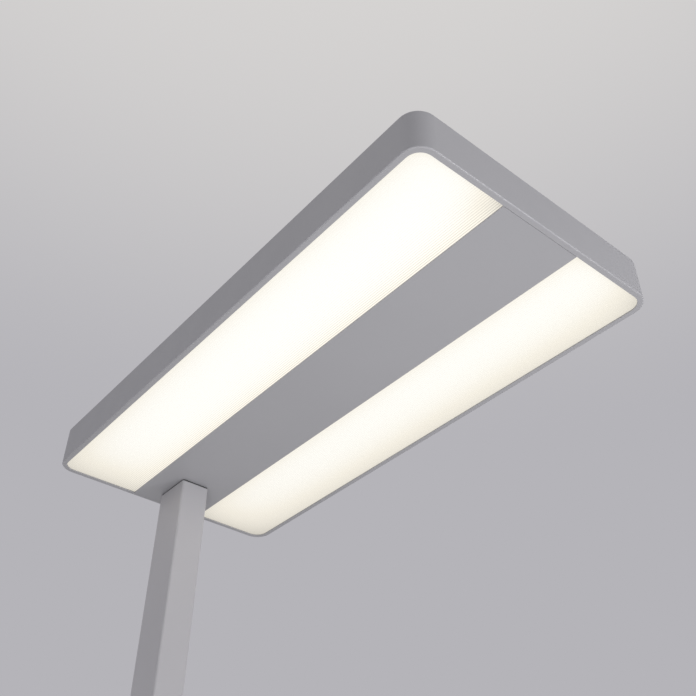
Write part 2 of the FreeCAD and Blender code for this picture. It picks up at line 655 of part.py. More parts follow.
def build_head_frame():
    """The ring round the head: a lip below, a wall, and a ledge and a rim above."""
    body = head_piece("head_frame")
    outside = Rectangle(HEAD_X, "0", "head_length", "head_width", "corner_radius")
    inside = Rectangle(HEAD_X, "0", HEAD_INSIDE_LENGTH, HEAD_INSIDE_WIDTH, INSIDE_RADIUS)
    window = Rectangle(HEAD_X, "0", "head_length - 2 * lip_width", "head_width - 2 * lip_width",
                       "corner_radius - lip_width")
    ledge = Rectangle(HEAD_X, "0", f"{HEAD_INSIDE_LENGTH} - 2 * ledge_width",
                      f"{HEAD_INSIDE_WIDTH} - 2 * ledge_width", f"{INSIDE_RADIUS} - ledge_width")
    pad(body, [outside, window], "0", "lip_thickness")
    pad(body, [outside, inside], "lip_thickness", LEDGE_LEVEL)
    pad(body, [outside, ledge], LEDGE_LEVEL, PLATE_LEVEL)
    pad(body, [outside, inside], PLATE_LEVEL, "head_height")
    pocket(body, [Disc(x, y, "small_screw_radius + thread_gap") for x, y in LEDGE_SCREWS],
           LEDGE_LEVEL, PLATE_LEVEL)
    reach = number("corner_radius - lip_width / 2")
    low = lies_at(2, "0")
    rear, front = number(HEAD_REAR), number(HEAD_FRONT)
    side = number("head_width / 2")

    def outer_low(edge):
        box = edge.BoundBox
        if isinstance(edge.Curve, Part.Circle):
            return low(edge) and edge.Curve.Radius > reach
        ends = (box.XMax - rear, front - box.XMin, box.YMax + side, side - box.YMin)
        return low(edge) and min(ends) < NEAR

    fillet(body, "bottom_edge_radius", outer_low)


def build_centre_strip():
    """The plate along the middle of the underside, flush with the lip, cut out for the neck."""
    body = head_piece("centre_strip")
    plate = Rectangle(HEAD_X, "0", "head_length - 2 * lip_width - 2 * seat_gap", "strip_width")
    neck = Rectangle("0", "0", "neck_depth + 2 * seat_gap", "neck_width + 2 * seat_gap")
    pad(body, [plate, neck], "0", "lip_thickness")
    studs = head_piece("strip_studs")
    pad(studs, [Disc(x, y, "stud_radius") for x, y in STUDS], "lip_thickness",
        "lip_thickness + stud_height")
    nuts = head_piece("strip_nuts")
    rings = [Disc(x, y, "stud_radius + thread_gap") for x, y in STUDS]
    pad(nuts, [Hexagon(x, y, "nut_radius") for x, y in STUDS] + rings, WEB_TOP,
        f"{WEB_TOP} + nut_height")


def build_spine():
    """The channel that carries the head: web below, two sides, and flanges under the top plate."""
    body = head_piece("spine")
    side, thick, edge = "spine_width / 2", "spine_thickness", "(spine_width / 2 + spine_flange)"
    half = [
        (side, "lip_thickness"), (side, f"{PLATE_LEVEL} - {thick}"),
        (edge, f"{PLATE_LEVEL} - {thick}"), (edge, PLATE_LEVEL),
        (f"{side} - {thick}", PLATE_LEVEL), (f"{side} - {thick}", WEB_TOP),
    ]
    mirrored = [(f"-({y})", z) for y, z in reversed(half)]
    gap = "(frame_wall + seat_gap)"
    pad(body, [Outline(half + mirrored)], f"{HEAD_REAR} + {gap}", f"{HEAD_FRONT} - {gap}", "YZ_Plane")
    holes = [Disc(x, y, "bolt_radius + hole_gap") for x, y in MAST_BOLTS]
    holes += [Disc("0", "0", "lead_bore_radius")]
    holes += [Disc(x, y, "stud_radius + hole_gap") for x, y in STUDS]
    holes += [Disc(x, y, "small_screw_radius + thread_gap") for x, y in DRIVER_SCREWS + TERMINAL_SCREWS]
    pocket(body, holes, "lip_thickness", WEB_TOP)
    pocket(body, [Disc(x, y, "small_screw_radius + thread_gap") for x, y in FLANGE_SCREWS],
           f"{PLATE_LEVEL} - {thick}", PLATE_LEVEL)
    notch = "(frame_wall + ledge_width + seat_gap)"
    ends = [f"{HEAD_REAR} + {notch} / 2", f"{HEAD_FRONT} - {notch} / 2"]
    pocket(body, [Rectangle(x, "0", notch, f"2 * {edge} + 2 * seat_gap") for x in ends],
           f"{LEDGE_LEVEL} - seat_gap", PLATE_LEVEL)
    through = [Disc(x, z, "small_screw_radius + hole_gap") for x, z in TRAY_SCREWS]
    through += [Disc(EXIT_X, LEAD_LEVEL, "grommet_radius + seat_gap")]
    pocket(body, through, f"-({side})", f"{thick} - {side}", "XZ_Plane")
    pocket(body, through, f"{side} - {thick}", side, "XZ_Plane")


def build_mount():
    """The load plate in the spine, the block in the mast's top, and the bolts between them."""
    plate = head_piece("mount_plate")
    pad(plate, [Rectangle("0", "0", "mount_plate_length", "mount_plate_width"),
                Disc("0", "0", "lead_bore_radius")]
        + [Disc(x, y, "bolt_radius + hole_gap") for x, y in MAST_BOLTS], WEB_TOP, MOUNT_TOP)
    block = head_piece("head_block")
    pad(block, [Rectangle("0", "0", PLUG_DEPTH, PLUG_WIDTH, PLUG_RADIUS)],
        "-shadow_gap - plug_height", "-shadow_gap")
    pad(block, [Rectangle("0", "0", "neck_depth", "neck_width")], "-shadow_gap", "lip_thickness")
    pocket(block, [Disc("0", "0", "lead_bore_radius")], "-shadow_gap - plug_height", "lip_thickness")
    pocket(block, [Disc(x, y, "bolt_radius + thread_gap") for x, y in MAST_BOLTS],
           "lip_thickness - bolt_reach - hole_runout", "lip_thickness")
    pocket(block, [Disc(x, f"{z} - underside_height", "rear_screw_radius + thread_gap")
                   for x, z in REAR_TOP_SCREWS],
           f"-{PLUG_DEPTH} / 2", REAR_HOLE_END, "YZ_Plane")
    bolts = head_piece("head_bolts")
    raised_screws(bolts, MAST_BOLTS, MOUNT_TOP, f"({MOUNT_TOP} - lip_thickness + bolt_reach)",
                  "bolt_radius", "bolt_head_radius", "bolt_head_height")
    collar = head_piece("mast_collar")
    inset = "2 * collar_inset"
    pad(collar, [Rectangle("0", "0", f"mast_depth - {inset}", f"mast_width - {inset}",
                           "mast_radius - collar_inset"),
                 Rectangle("0", "0", "neck_depth + 2 * seat_gap", "neck_width + 2 * seat_gap")],
        "-shadow_gap", "0")


def build_bay(side, sign):
    """One long light bay: its diffuser, tray, boards, chips, connector and uplight cover."""
    outer_corners = (2, 3) if sign > 0 else (0, 1)
    middle = f"{sign} * {BAY_Y}"
    length = f"({HEAD_INSIDE_LENGTH} - 2 * seat_gap)"
    tray_width = f"({BAY_OUTER} - {BAY_INNER})"
    diffuser = head_piece(f"diffuser_{side}")
    pad(diffuser, [Rectangle(HEAD_X, f"{middle} + {sign} * seat_gap / 2", length,
                             f"{tray_width} - seat_gap", LAID_RADIUS, outer_corners)],
        "lip_thickness", DIFFUSER_TOP)

    tray = head_piece(f"light_tray_{side}")
    pad(tray, [Rectangle(HEAD_X, middle, length, tray_width, LAID_RADIUS, outer_corners)],
        DIFFUSER_TOP, ROOF)
    wall = "2 * tray_thickness"
    pocket(tray, [Rectangle(HEAD_X, middle, f"{length} - {wall}", f"{tray_width} - {wall}",
                            f"{LAID_RADIUS} - tray_thickness", outer_corners)],
           DIFFUSER_TOP, ROOF_UNDER)
    holes = [Disc(x, z, "small_screw_radius + thread_gap") for x, z in TRAY_SCREWS]
    holes += [Disc(EXIT_X, LEAD_LEVEL, "grommet_radius + seat_gap")]
    near, far = BAY_INNER, f"{BAY_INNER} + tray_thickness"
    low, high = (near, far) if sign > 0 else (f"-({far})", f"-{near}")
    pocket(tray, holes, low, high, "XZ_Plane")

    board = head_piece(f"led_board_{side}")
    pad(board, [Rectangle(HEAD_X, middle, "led_board_length", "led_board_width")],
        BOARD_UNDER, ROOF_UNDER)
    chips = head_piece(f"led_chips_{side}")
    seed = pad(chips, [Rectangle(f"{HEAD_X} - {LED_COLUMNS - 1} / 2 * led_pitch_x",
                                 f"{middle} - {LED_ROWS - 1} / 2 * led_pitch_y",
                                 "chip_size", "chip_size")],
               f"{BOARD_UNDER} - chip_thickness", BOARD_UNDER)
    pattern(chips, seed, LED_COLUMNS, "led_pitch_x", LED_ROWS, "led_pitch_y")
    connector = head_piece(f"board_connector_{side}")
    pad(connector, [Rectangle(EXIT_X, f"{sign} * {CONNECTOR_Y}", "connector_length",
                              "connector_width")],
        f"{BOARD_UNDER} - connector_height", BOARD_UNDER)

    upper = head_piece(f"uplight_board_{side}")
    upper_length = f"({UPLIGHT_COLUMNS} * uplight_pitch)"
    pad(upper, [Rectangle(HEAD_X, middle, upper_length, "uplight_board_width")],
        ROOF, f"{ROOF} + board_thickness")
    lights = head_piece(f"uplight_chips_{side}")
    seed = pad(lights, [Rectangle(f"{HEAD_X} - {UPLIGHT_COLUMNS - 1} / 2 * uplight_pitch", middle,
                                  "chip_size", "chip_size")],
               f"{ROOF} + board_thickness", f"{ROOF} + board_thickness + chip_thickness")
    pattern(lights, seed, UPLIGHT_COLUMNS, "uplight_pitch")
    cover = head_piece(f"uplight_cover_{side}")
    pad(cover, [Rectangle(HEAD_X, middle, "window_length + 2 * cover_flange",
                          "window_width + 2 * cover_flange", "window_radius + cover_flange")],
        LEDGE_LEVEL, PLATE_LEVEL)
    pad(cover, [Rectangle(HEAD_X, middle, "window_length - 2 * seat_gap",
                          "window_width - 2 * seat_gap", "window_radius - seat_gap")],
        PLATE_LEVEL, "head_height")


def build_top_plate():
    """The plate that closes the head above, with a window over each uplight, and its screws."""
    body = head_piece("top_plate")
    screws = LEDGE_SCREWS + FLANGE_SCREWS
    hole = "(small_screw_radius + hole_gap)"
    pad(body, [Rectangle(HEAD_X, "0", f"{HEAD_INSIDE_LENGTH} - 2 * seat_gap",
                         f"{HEAD_INSIDE_WIDTH} - 2 * seat_gap", LAID_RADIUS)],
        PLATE_LEVEL, "head_height")
    pocket(body, [Rectangle(HEAD_X, f"{sign} * {BAY_Y}", "window_length", "window_width",
                            "window_radius") for sign in SIDES.values()],
           PLATE_LEVEL, "head_height")
    pocket(body, [Disc(x, y, hole) for x, y in screws], PLATE_LEVEL, "head_height")
    chamfer(body, f"small_head_radius + thread_gap - {hole}", round_at(2, "head_height", hole))
    group = head_piece("top_screws")
    sunk_screws(group, screws, "head_height", "small_screw_length", "small_screw_radius",
                "small_head_radius")


def build_tray_screws():
    """The screws through the spine's sides into the light trays."""
    body = head_piece("tray_screws")
    seat = "(spine_width / 2 - spine_thickness)"
    sizes = ("small_screw_length", "small_screw_radius", "small_head_radius", "small_head_height")
    raised_screws(body, TRAY_SCREWS, seat, *sizes, "XZ_Plane", head_high=False)
    raised_screws(body, TRAY_SCREWS, f"(-{seat})", *sizes, "XZ_Plane", head_high=True)


def build_electrics():
    """The LED driver, the mains terminals, their screws, and the leads inside the head."""
    driver = head_piece("led_driver")
    x_middle = "(driver_start + driver_length / 2)"
    pad(driver, [Rectangle(x_middle, "0", "driver_length + 2 * driver_tab",
                           "driver_tab_width")],
        WEB_TOP, f"{WEB_TOP} + driver_tab_thickness")
    pad(driver, [Rectangle(x_middle, "0", "driver_length", "driver_width", "driver_radius")],
        WEB_TOP, f"{WEB_TOP} + driver_height")
    pocket(driver, [Disc(x, y, "small_screw_radius + hole_gap") for x, y in DRIVER_SCREWS],
           WEB_TOP, f"{WEB_TOP} + driver_tab_thickness")
    screws = head_piece("driver_screws")
    sizes = ("small_screw_radius", "small_head_radius", "small_head_height")
    raised_screws(screws, DRIVER_SCREWS, f"({WEB_TOP} + driver_tab_thickness)",
                  "(spine_thickness + driver_tab_thickness)", *sizes)

    terminal = head_piece("terminal_block")
    pad(terminal, [Rectangle("terminal_start + terminal_length / 2", "terminal_y",
                             "terminal_length", "terminal_width")],
        WEB_TOP, f"{WEB_TOP} + terminal_height")
    top = f"({WEB_TOP} + terminal_height)"
    head_well = f"({top} - small_head_height - terminal_recess)"
    pocket(terminal, [Disc(x, y, "small_screw_radius + hole_gap") for x, y in TERMINAL_SCREWS],
           WEB_TOP, top)
    pocket(terminal, [Disc(x, y, "small_head_radius + hole_gap") for x, y in TERMINAL_SCREWS],
           head_well, top)
    poles = [f"terminal_y + {pole} * core_pitch" for pole in (-1, 0, 1)]
    level = f"({WEB_TOP} + core_level)"
    terminal_end = "(terminal_start + terminal_length)"
    entries = [Disc(y, level, "core_radius + seat_gap") for y in poles]
    pocket(terminal, entries, f"{terminal_end} - entry_depth", terminal_end, "YZ_Plane")
    pocket(terminal, entries, "terminal_start", "terminal_start + entry_depth", "YZ_Plane")
    fixings = head_piece("terminal_screws")
    raised_screws(fixings, TERMINAL_SCREWS, head_well, f"({head_well} - lip_thickness)", *sizes)
    cores = head_piece("mains_cores")
    pad(cores, [Disc(y, level, "core_radius") for y in poles],
        f"{terminal_end} - entry_depth", "driver_start", "YZ_Plane")

    routes = []
    for sign in SIDES.values():
        end_y = f"{sign} * ({CONNECTOR_Y} - connector_width / 2)"
        routes.append(rounded_route(
            [(DRIVER_END, f"{sign} * exit_y", LEAD_LEVEL), (EXIT_X, f"{sign} * exit_y", LEAD_LEVEL),
             (EXIT_X, end_y, LEAD_LEVEL)], ["exit_run / 2"]))
    lead("board_leads", routes, "lead_radius", "underside_height")
    grommets = head_piece("lead_grommets")
    inner, outer = "(spine_width / 2 - spine_thickness)", "(spine_width / 2 + tray_thickness)"
    for sign in SIDES.values():
        stops = [f"{inner} - grommet_flange", inner, outer, f"{outer} + grommet_flange"]
        if sign < 0:
            stops = [f"-({stop})" for stop in reversed(stops)]
        bore = Disc(EXIT_X, LEAD_LEVEL, "lead_radius + thread_gap")
        rim = Disc(EXIT_X, LEAD_LEVEL, "grommet_flange_radius")
        waist = Disc(EXIT_X, LEAD_LEVEL, "grommet_radius")
        pad(grommets, [rim, bore], stops[0], stops[1], "XZ_Plane")
        pad(grommets, [waist, bore], stops[1], stops[2], "XZ_Plane")
        pad(grommets, [rim, bore], stops[2], stops[3], "XZ_Plane")


def build_control_lead():
    """The lead from the keypad's board up the mast and through the head block to the driver."""
    start = f"mast_depth / 2 - {BOARD_BACK}"
    level = "control_height + lead_z"
    top = "underside_height + lead_top_run"
    block_foot = "underside_height - shadow_gap - plug_height"
    points = [
        (start, "0", level), ("lead_x", "0", level),
        ("lead_x", "0", f"{block_foot} - lead_slant_low"),
        ("0", "0", f"{block_foot} - lead_slant_high"),
        ("0", "0", top), ("driver_start", "0", top),
    ]
    bends = ["lead_bend", "lead_slant_bend", "lead_slant_bend", "lead_bend"]
    lead("control_lead", [rounded_route(points, bends)], "lead_radius", "0")


def build_mast():
    """The mast: a rectangular tube with the keypad's opening and its screw and gland holes."""
    body = new_piece("mast")
    pad(body, [Rectangle("0", "0", "mast_depth", "mast_width", "mast_radius"),
               Rectangle("0", "0", MAST_INSIDE_DEPTH, MAST_INSIDE_WIDTH, "mast_inner_radius")],
        BASE_TOP, MAST_TOP)
    front = ("mast_depth / 2 - mast_wall", "mast_depth / 2")
    pocket(body, [Rectangle("0", "control_height", "opening_width", "opening_height",
                            "opening_radius")], *front, "YZ_Plane")
    pocket(body, [Disc(y, f"control_height + {z}", "small_screw_radius + thread_gap")
                  for y, z in BEZEL_SCREWS], *front, "YZ_Plane")
    rear = ("-mast_depth / 2", "mast_wall - mast_depth / 2")
    pocket(body, [Disc(y, z, "rear_screw_radius + hole_gap")
                  for y, z in REAR_TOP_SCREWS + REAR_FOOT_SCREWS], *rear, "YZ_Plane")
    pocket(body, [Disc("0", "gland_height", "gland_thread_radius + seat_gap")], *rear, "YZ_Plane")
    screws = new_piece("mast_screws")
    raised_screws(screws, REAR_TOP_SCREWS + REAR_FOOT_SCREWS, "(-mast_depth / 2)",
                  "rear_screw_length", "rear_screw_radius", "rear_head_radius", "rear_head_height",
                  "YZ_Plane", head_high=False)


def build_base():
    """The base plate, the mat under it, the block in the mast's foot, and their bolts."""
    plate = new_piece("base_plate")
    outline = Rectangle(BASE_X, "0", "base_length", "base_width", "base_radius")
    hole = "(bolt_radius + hole_gap)"
    pad(plate, [outline], "mat_thickness", BASE_TOP)
    pocket(plate, [Disc(x, y, hole) for x, y in MAST_BOLTS], "mat_thickness", BASE_TOP)
    chamfer(plate, f"sunk_bolt_head_radius + thread_gap - {hole}",
            round_at(2, "mat_thickness", hole))
    hole_radius = number(hole)
    top = lies_at(2, BASE_TOP)
    fillet(plate, "base_edge_radius", lambda edge: top(edge) and not (
        isinstance(edge.Curve, Part.Circle) and edge.Curve.Radius < hole_radius + NEAR))
    mat = new_piece("base_mat")
    inset, margin = "2 * mat_inset", "2 * mat_window_margin"
    pad(mat, [Rectangle(BASE_X, "0", f"base_length - {inset}", f"base_width - {inset}",
                        "base_radius - mat_inset")]
        + [Rectangle("0", "0", f"2 * bolt_x + {margin}", f"2 * bolt_y + {margin}", "bolt_radius")],
        "0", "mat_thickness")
    block = new_piece("foot_block")
    pad(block, [Rectangle("0", "0", PLUG_DEPTH, PLUG_WIDTH, PLUG_RADIUS)],
        BASE_TOP, f"{BASE_TOP} + foot_block_height")
    pocket(block, [Disc(x, y, "bolt_radius + thread_gap") for x, y in MAST_BOLTS],
           BASE_TOP, f"{BASE_TOP} + bolt_reach + hole_runout")
    pocket(block, [Disc(y, z, "rear_screw_radius + thread_gap") for y, z in REAR_FOOT_SCREWS],
           f"-{PLUG_DEPTH} / 2", REAR_HOLE_END, "YZ_Plane")
    bolts = new_piece("base_bolts")
    sunk_screws(bolts, MAST_BOLTS, "mat_thickness", "(base_thickness + bolt_reach)", "bolt_radius",
                "sunk_bolt_head_radius", head_high=False)


def build_gland():
    """The mains lead's gland in the mast's rear face, and its locknut inside."""
    outside = "(-mast_depth / 2)"
    inside = "(mast_wall - mast_depth / 2)"
    cap = f"({outside} - gland_flange - gland_cap)"
    body = new_piece("cable_gland")
    bore = Disc("0", "gland_height", "gland_bore_radius")
    pad(body, [Hexagon("0", "gland_height", "gland_flange_radius"), bore],
        f"{outside} - gland_flange", outside, "YZ_Plane")
    pad(body, [Disc("0", "gland_height", "gland_thread_radius"), bore],
        outside, f"{inside} + gland_tail", "YZ_Plane")
    pad(body, [Disc("0", "gland_height", "gland_cap_radius"), bore],
        cap, f"{outside} - gland_flange", "YZ_Plane")
    fillet(body, f"(gland_cap_radius - gland_bore_radius) * {CAP_ROUNDING}",
           round_at(0, cap, "gland_cap_radius"))
    nut = new_piece("gland_nut")
    pad(nut, [Hexagon("0", "gland_height", "gland_flange_radius"),
              Disc("0", "gland_height", "gland_thread_radius + thread_gap")],
        inside, f"{inside} + gland_nut", "YZ_Plane")


def build_bezel():
    """The keypad's front plate, with its skirt, the pin's ears and the board's posts behind it."""
    body = keypad_piece("keypad_bezel")
    hole = "(small_screw_radius + hole_gap)"
    pad(body, [Rectangle("0", "0", "bezel_width", "bezel_height", "bezel_radius")],
        "0", "bezel_thickness", "YZ_Plane")
    pad(body, [Rectangle("0", "0", SKIRT_WIDTH, SKIRT_HEIGHT, "opening_radius - seat_gap"),
               Rectangle("0", "0", SKIRT_INSIDE_WIDTH, SKIRT_INSIDE_HEIGHT)],
        "-skirt_depth", "0", "YZ_Plane")
    pad(body, [Disc(y, z, "post_radius") for y, z in POSTS], "-board_depth", "0", "YZ_Plane")
    ear_y = "(key_width / 2 + seat_gap + ear_thickness / 2)"
    pad(body, [Rectangle(f"{sign} * {ear_y}", "rocker_z", "ear_thickness", "2 * boss_half_height")
               for sign in (1, -1)], "-boss_depth", "0", "YZ_Plane")
    pocket(body, [Rectangle("0", "power_z", "key_width", "key_width", "key_radius"),
                  Rectangle("0", "rocker_z", "key_width", "rocker_opening", "key_radius")],
           "0", "bezel_thickness", "YZ_Plane")
    pocket(body, [Disc(y, z, hole) for y, z in BEZEL_SCREWS], "0", "bezel_thickness", "YZ_Plane")
    pocket(body, [Disc(y, z, "post_screw_radius + thread_gap") for y, z in POSTS],
           "-board_depth", "-board_depth + post_screw_length", "YZ_Plane")
    reach = f"{ear_y} + ear_thickness / 2"
    pocket(body, [Disc("-pin_depth", "rocker_z", "pin_radius + pin_gap")],
           f"-({reach})", reach, "XZ_Plane")
    chamfer(body, f"small_head_radius + thread_gap - {hole}", round_at(0, "bezel_thickness", hole))
    fillet(body, "bezel_edge", outermost(0, "bezel_thickness", ("bezel_width", "bezel_height")))
    screws = keypad_piece("bezel_screws")
    sunk_screws(screws, BEZEL_SCREWS, "bezel_thickness", "small_screw_length",
                "small_screw_radius", "small_head_radius", "YZ_Plane")


def build_keys():
    """The power button, the dimming rocker and its pin, and the rubber domes they press."""
    power = keypad_piece("power_button")
    behind = "seat_gap"
    pad(power, [Rectangle("0", "power_z", KEY_CAP_WIDTH, KEY_CAP_WIDTH, "key_radius - seat_gap")],
        f"-{behind} - flange_thickness", KEY_FRONT, "YZ_Plane")
    flange = "key_width + 2 * key_flange"
    pad(power, [Rectangle("0", "power_z", flange, flange, "key_radius")],
        f"-{behind} - flange_thickness", f"-{behind}", "YZ_Plane")
    pad(power, [Disc("0", "power_z", "stem_radius")], "-stem_reach", f"-{behind} - flange_thickness",
        "YZ_Plane")
    fillet(power, "key_edge", lies_at(0, KEY_FRONT))

    rocker = keypad_piece("dimmer_rocker")
    back = f"({KEY_FRONT} - key_cap)"
    pad(rocker, [Rectangle("0", "rocker_z", KEY_CAP_WIDTH, ROCKER_HEIGHT, "key_radius - seat_gap")],
        back, KEY_FRONT, "YZ_Plane")
    pad(rocker, [Rectangle("0", "rocker_z", KEY_CAP_WIDTH, "2 * boss_half_height")],
        "-boss_depth", back, "YZ_Plane")
    pad(rocker, [Disc("0", f"rocker_z {s} rocker_stem_z", "stem_radius") for s in "+-"],
        "-stem_reach", back, "YZ_Plane")
    half = "key_width / 2"
    pocket(rocker, [Disc("-pin_depth", "rocker_z", "pin_radius + pivot_gap")],
           f"-({half})", half, "XZ_Plane")
    fillet(rocker, "key_edge", lies_at(0, KEY_FRONT))
    pin = keypad_piece("rocker_pin")
    reach = "key_width / 2 + seat_gap + ear_thickness"
    pad(pin, [Disc("-pin_depth", "rocker_z", "pin_radius")], f"-({reach})", reach, "XZ_Plane")

    domes = {"power_dome": ["power_z"],
             "dimmer_domes": ["rocker_z + rocker_stem_z", "rocker_z - rocker_stem_z"]}
    for name, levels in domes.items():
        dome = keypad_piece(name)
        pad(dome, [Disc("0", z, "dome_radius") for z in levels], "-board_depth", f"-{DOME_TIP}",
            "YZ_Plane", taper=DOME_TAPER)


def build_keypad_back():
    """The keypad's board, its screws, and the cover behind them."""
    board = keypad_piece("control_board")
    pad(board, [Rectangle("0", "0", f"{SKIRT_INSIDE_WIDTH} - 2 * seat_gap",
                          f"{SKIRT_INSIDE_HEIGHT} - 2 * seat_gap")]
        + [Disc(y, z, "post_screw_radius + hole_gap") for y, z in POSTS],
        f"-{BOARD_BACK}", "-board_depth", "YZ_Plane")
    screws = keypad_piece("board_screws")
    raised_screws(screws, POSTS, f"(-{BOARD_BACK})", "post_screw_length", "post_screw_radius",
                  "post_head_radius", "post_head_height", "YZ_Plane", head_high=False)
    back = keypad_piece("keypad_back")
    pad(back, [Rectangle("0", "0", SKIRT_WIDTH, SKIRT_HEIGHT, "opening_radius - seat_gap"),
               Disc("0", "lead_z", "lead_hole_radius")],
        "-skirt_depth - back_thickness", "-skirt_depth", "YZ_Plane")
    rim = f"{SKIRT_INSIDE_WIDTH} - 2 * seat_gap", f"{SKIRT_INSIDE_HEIGHT} - 2 * seat_gap"
    pad(back, [Rectangle("0", "0", *rim),
               Rectangle("0", "0", *[f"({size}) - 2 * skirt_wall" for size in rim])],
        "-skirt_depth", "-skirt_depth + back_rim", "YZ_Plane")


def check_and_write():
    """Checks every object and sub-part, then writes one file for each sub-part."""
    document.recompute()
    faults = []
    for item in document.Objects:
        if {"Invalid", "Error"} & set(item.State):
            faults.append(f"{item.Label} has failed")
        if item.TypeId == "PartDesign::Pocket":
            before = item.BaseFeature.Shape.Volume
            if item.Shape.Volume > before - NEAR:
                faults.append(f"{item.Label} of {item.getParentGeoFeatureGroup().Label} cuts nothing")
    pieces = [item for item in document.Objects
              if item.TypeId in ("PartDesign::Body", "Part::Feature")]
    for piece in pieces:
        if piece.Shape.isNull() or not piece.Shape.isValid() or not piece.Shape.Solids:
            faults.append(f"{piece.Label} has no sound shape")
    if faults:
        raise RuntimeError("; ".join(faults))
    for piece in pieces:
        piece.Shape.exportStep(os.path.join("parts", f"{piece.Label}.step"))
        box = piece.Shape.BoundBox
        print(f"{piece.Label}: {len(piece.Shape.Solids)} solids, {piece.Shape.Volume / 1000:.2f} cm3,"
              f" z {box.ZMin:.1f} to {box.ZMax:.1f}")


build_head_frame()
build_centre_strip()
build_spine()
build_mount()
for side_name, side_sign in SIDES.items():
    build_bay(side_name, side_sign)
build_top_plate()
build_tray_screws()
build_electrics()
build_mast()
build_base()
build_gland()
build_bezel()
build_keys()
build_keypad_back()
build_control_lead()
check_and_write()
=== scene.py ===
"""The looks of an office floor lamp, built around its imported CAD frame.

Everything is in metres. +Z is up, +X runs along the head to its free end, and the origin is on the
floor under the mast's axis. "Left" pieces lie at +Y and "right" pieces at -Y.
"""

import logging
import math
from dataclasses import dataclass
from enum import Enum
from typing import ClassVar

import bpy
import numpy as np
from mathutils import Euler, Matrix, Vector


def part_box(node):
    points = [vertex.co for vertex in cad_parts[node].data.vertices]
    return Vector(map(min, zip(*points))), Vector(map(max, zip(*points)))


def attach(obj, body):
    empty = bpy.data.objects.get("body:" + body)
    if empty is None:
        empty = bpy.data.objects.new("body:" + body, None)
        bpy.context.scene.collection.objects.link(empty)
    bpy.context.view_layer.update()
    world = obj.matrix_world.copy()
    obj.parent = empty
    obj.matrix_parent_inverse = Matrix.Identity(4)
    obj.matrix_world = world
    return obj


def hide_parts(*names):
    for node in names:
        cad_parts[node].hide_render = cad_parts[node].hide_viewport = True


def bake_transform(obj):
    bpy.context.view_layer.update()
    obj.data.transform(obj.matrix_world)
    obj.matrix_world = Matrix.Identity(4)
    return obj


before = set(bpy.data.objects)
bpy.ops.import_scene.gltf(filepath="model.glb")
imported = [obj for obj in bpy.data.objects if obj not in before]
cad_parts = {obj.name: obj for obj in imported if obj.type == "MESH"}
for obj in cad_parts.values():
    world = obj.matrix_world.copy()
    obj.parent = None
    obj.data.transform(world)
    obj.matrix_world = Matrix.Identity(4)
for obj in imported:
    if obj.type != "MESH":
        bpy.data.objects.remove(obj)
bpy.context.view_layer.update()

LOG = logging.getLogger("office_floor_lamp")

Triple = tuple[float, float, float]
Colour = Triple
Loss = tuple[float, float]
Socket = bpy.types.NodeSocket
Value = Socket | float | Colour
Pair = tuple[np.ndarray, np.ndarray]

# A round end's radius as a share of half the width; with a full 1 it would end in a point.
ROUND_END = 0.98
# Most of a noise texture's values lie between these two.
NOISE_LOW, NOISE_HIGH = 0.3, 0.7


class Body(Enum):
    """The bodies that pieces ride on."""

    LAMP = "lamp"
    POWER = "power_button"
    DIMMER = "dimmer_rocker"


class Facing(Enum):
    """Which way the top of a flat piece faces."""

    UP = "up"
    FRONT = "front"


def corners(node: str) -> Pair:
    """The lowest and the highest corner of a CAD node."""
    return np.array(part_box(node)[0]), np.array(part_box(node)[1])


# Meshes


def grid_faces(rows: int, columns: int, wrap_rows: bool, wrap_columns: bool) -> np.ndarray:
    """The quads of a grid of points, numbered row by row.

    Args:
        rows: How many rows of points there are.
        columns: How many points each row has.
        wrap_rows: Whether the last row joins the first.
        wrap_columns: Whether each row's last point joins its first.

    Returns:
        One line of four point numbers for each quad.
    """
    i = np.arange(rows if wrap_rows else rows - 1)[:, None]
    j = np.arange(columns if wrap_columns else columns - 1)[None, :]
    i_next, j_next = (i + 1) % rows, (j + 1) % columns
    corners = (i * columns + j, i_next * columns + j, i_next * columns + j_next, i * columns + j_next)
    return np.stack([np.broadcast_to(c, (i.size, j.size)) for c in corners], -1).reshape(-1, 4)


def enclosed_volume(points: np.ndarray, quads: np.ndarray) -> float:
    """The signed volume inside closed quads, positive where they face outwards.

    It is the sum over the triangles of a . (b x c) / 6.
    """
    triangles = np.concatenate([quads[:, [0, 1, 2]], quads[:, [0, 2, 3]]])
    a, b, c = (points[triangles[:, k]] for k in range(3))
    return float(np.einsum("ij,ij->i", a, np.cross(b, c)).sum() / 6)


def linked(name: str, data: bpy.types.ID) -> bpy.types.Object:
    """A new object in the scene."""
    thing = bpy.data.objects.new(name, data)
    bpy.context.scene.collection.objects.link(thing)
    return thing


def make_piece(name: str, shells: list[Pair], body: Body | None,
               material: bpy.types.Material, crease: float = 30.0) -> bpy.types.Object:
    """Makes one piece of closed shells, with every shell's faces turned outwards.

    Args:
        name: The piece's name.
        shells: The points and the quads of each closed shell.
        body: What the piece moves with, or None to leave it unattached to any body.
        material: The finish.
        crease: Edges sharper than this angle, in degrees, stay sharp.

    Returns:
        The piece, at the origin.
    """
    all_points, all_quads, count = [], [], 0
    for points, quads in shells:
        points = points.reshape(-1, 3)
        outward = quads if enclosed_volume(points, quads) > 0 else quads[:, ::-1]
        all_points.append(points)
        all_quads.append(outward + count)
        count += len(points)
    mesh = bpy.data.meshes.new(name)
    mesh.from_pydata(np.concatenate(all_points).tolist(), [], np.concatenate(all_quads).tolist())
    mesh.polygons.foreach_set("use_smooth", np.ones(len(mesh.polygons), bool))
    mesh.set_sharp_from_angle(angle=math.radians(crease))
    mesh.materials.append(material)
    mesh.validate()
    piece = linked(name, mesh)
    if body is not None:
        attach(piece, body.value)
    LOG.info("%s: %d faces", name, len(mesh.polygons))
    return piece


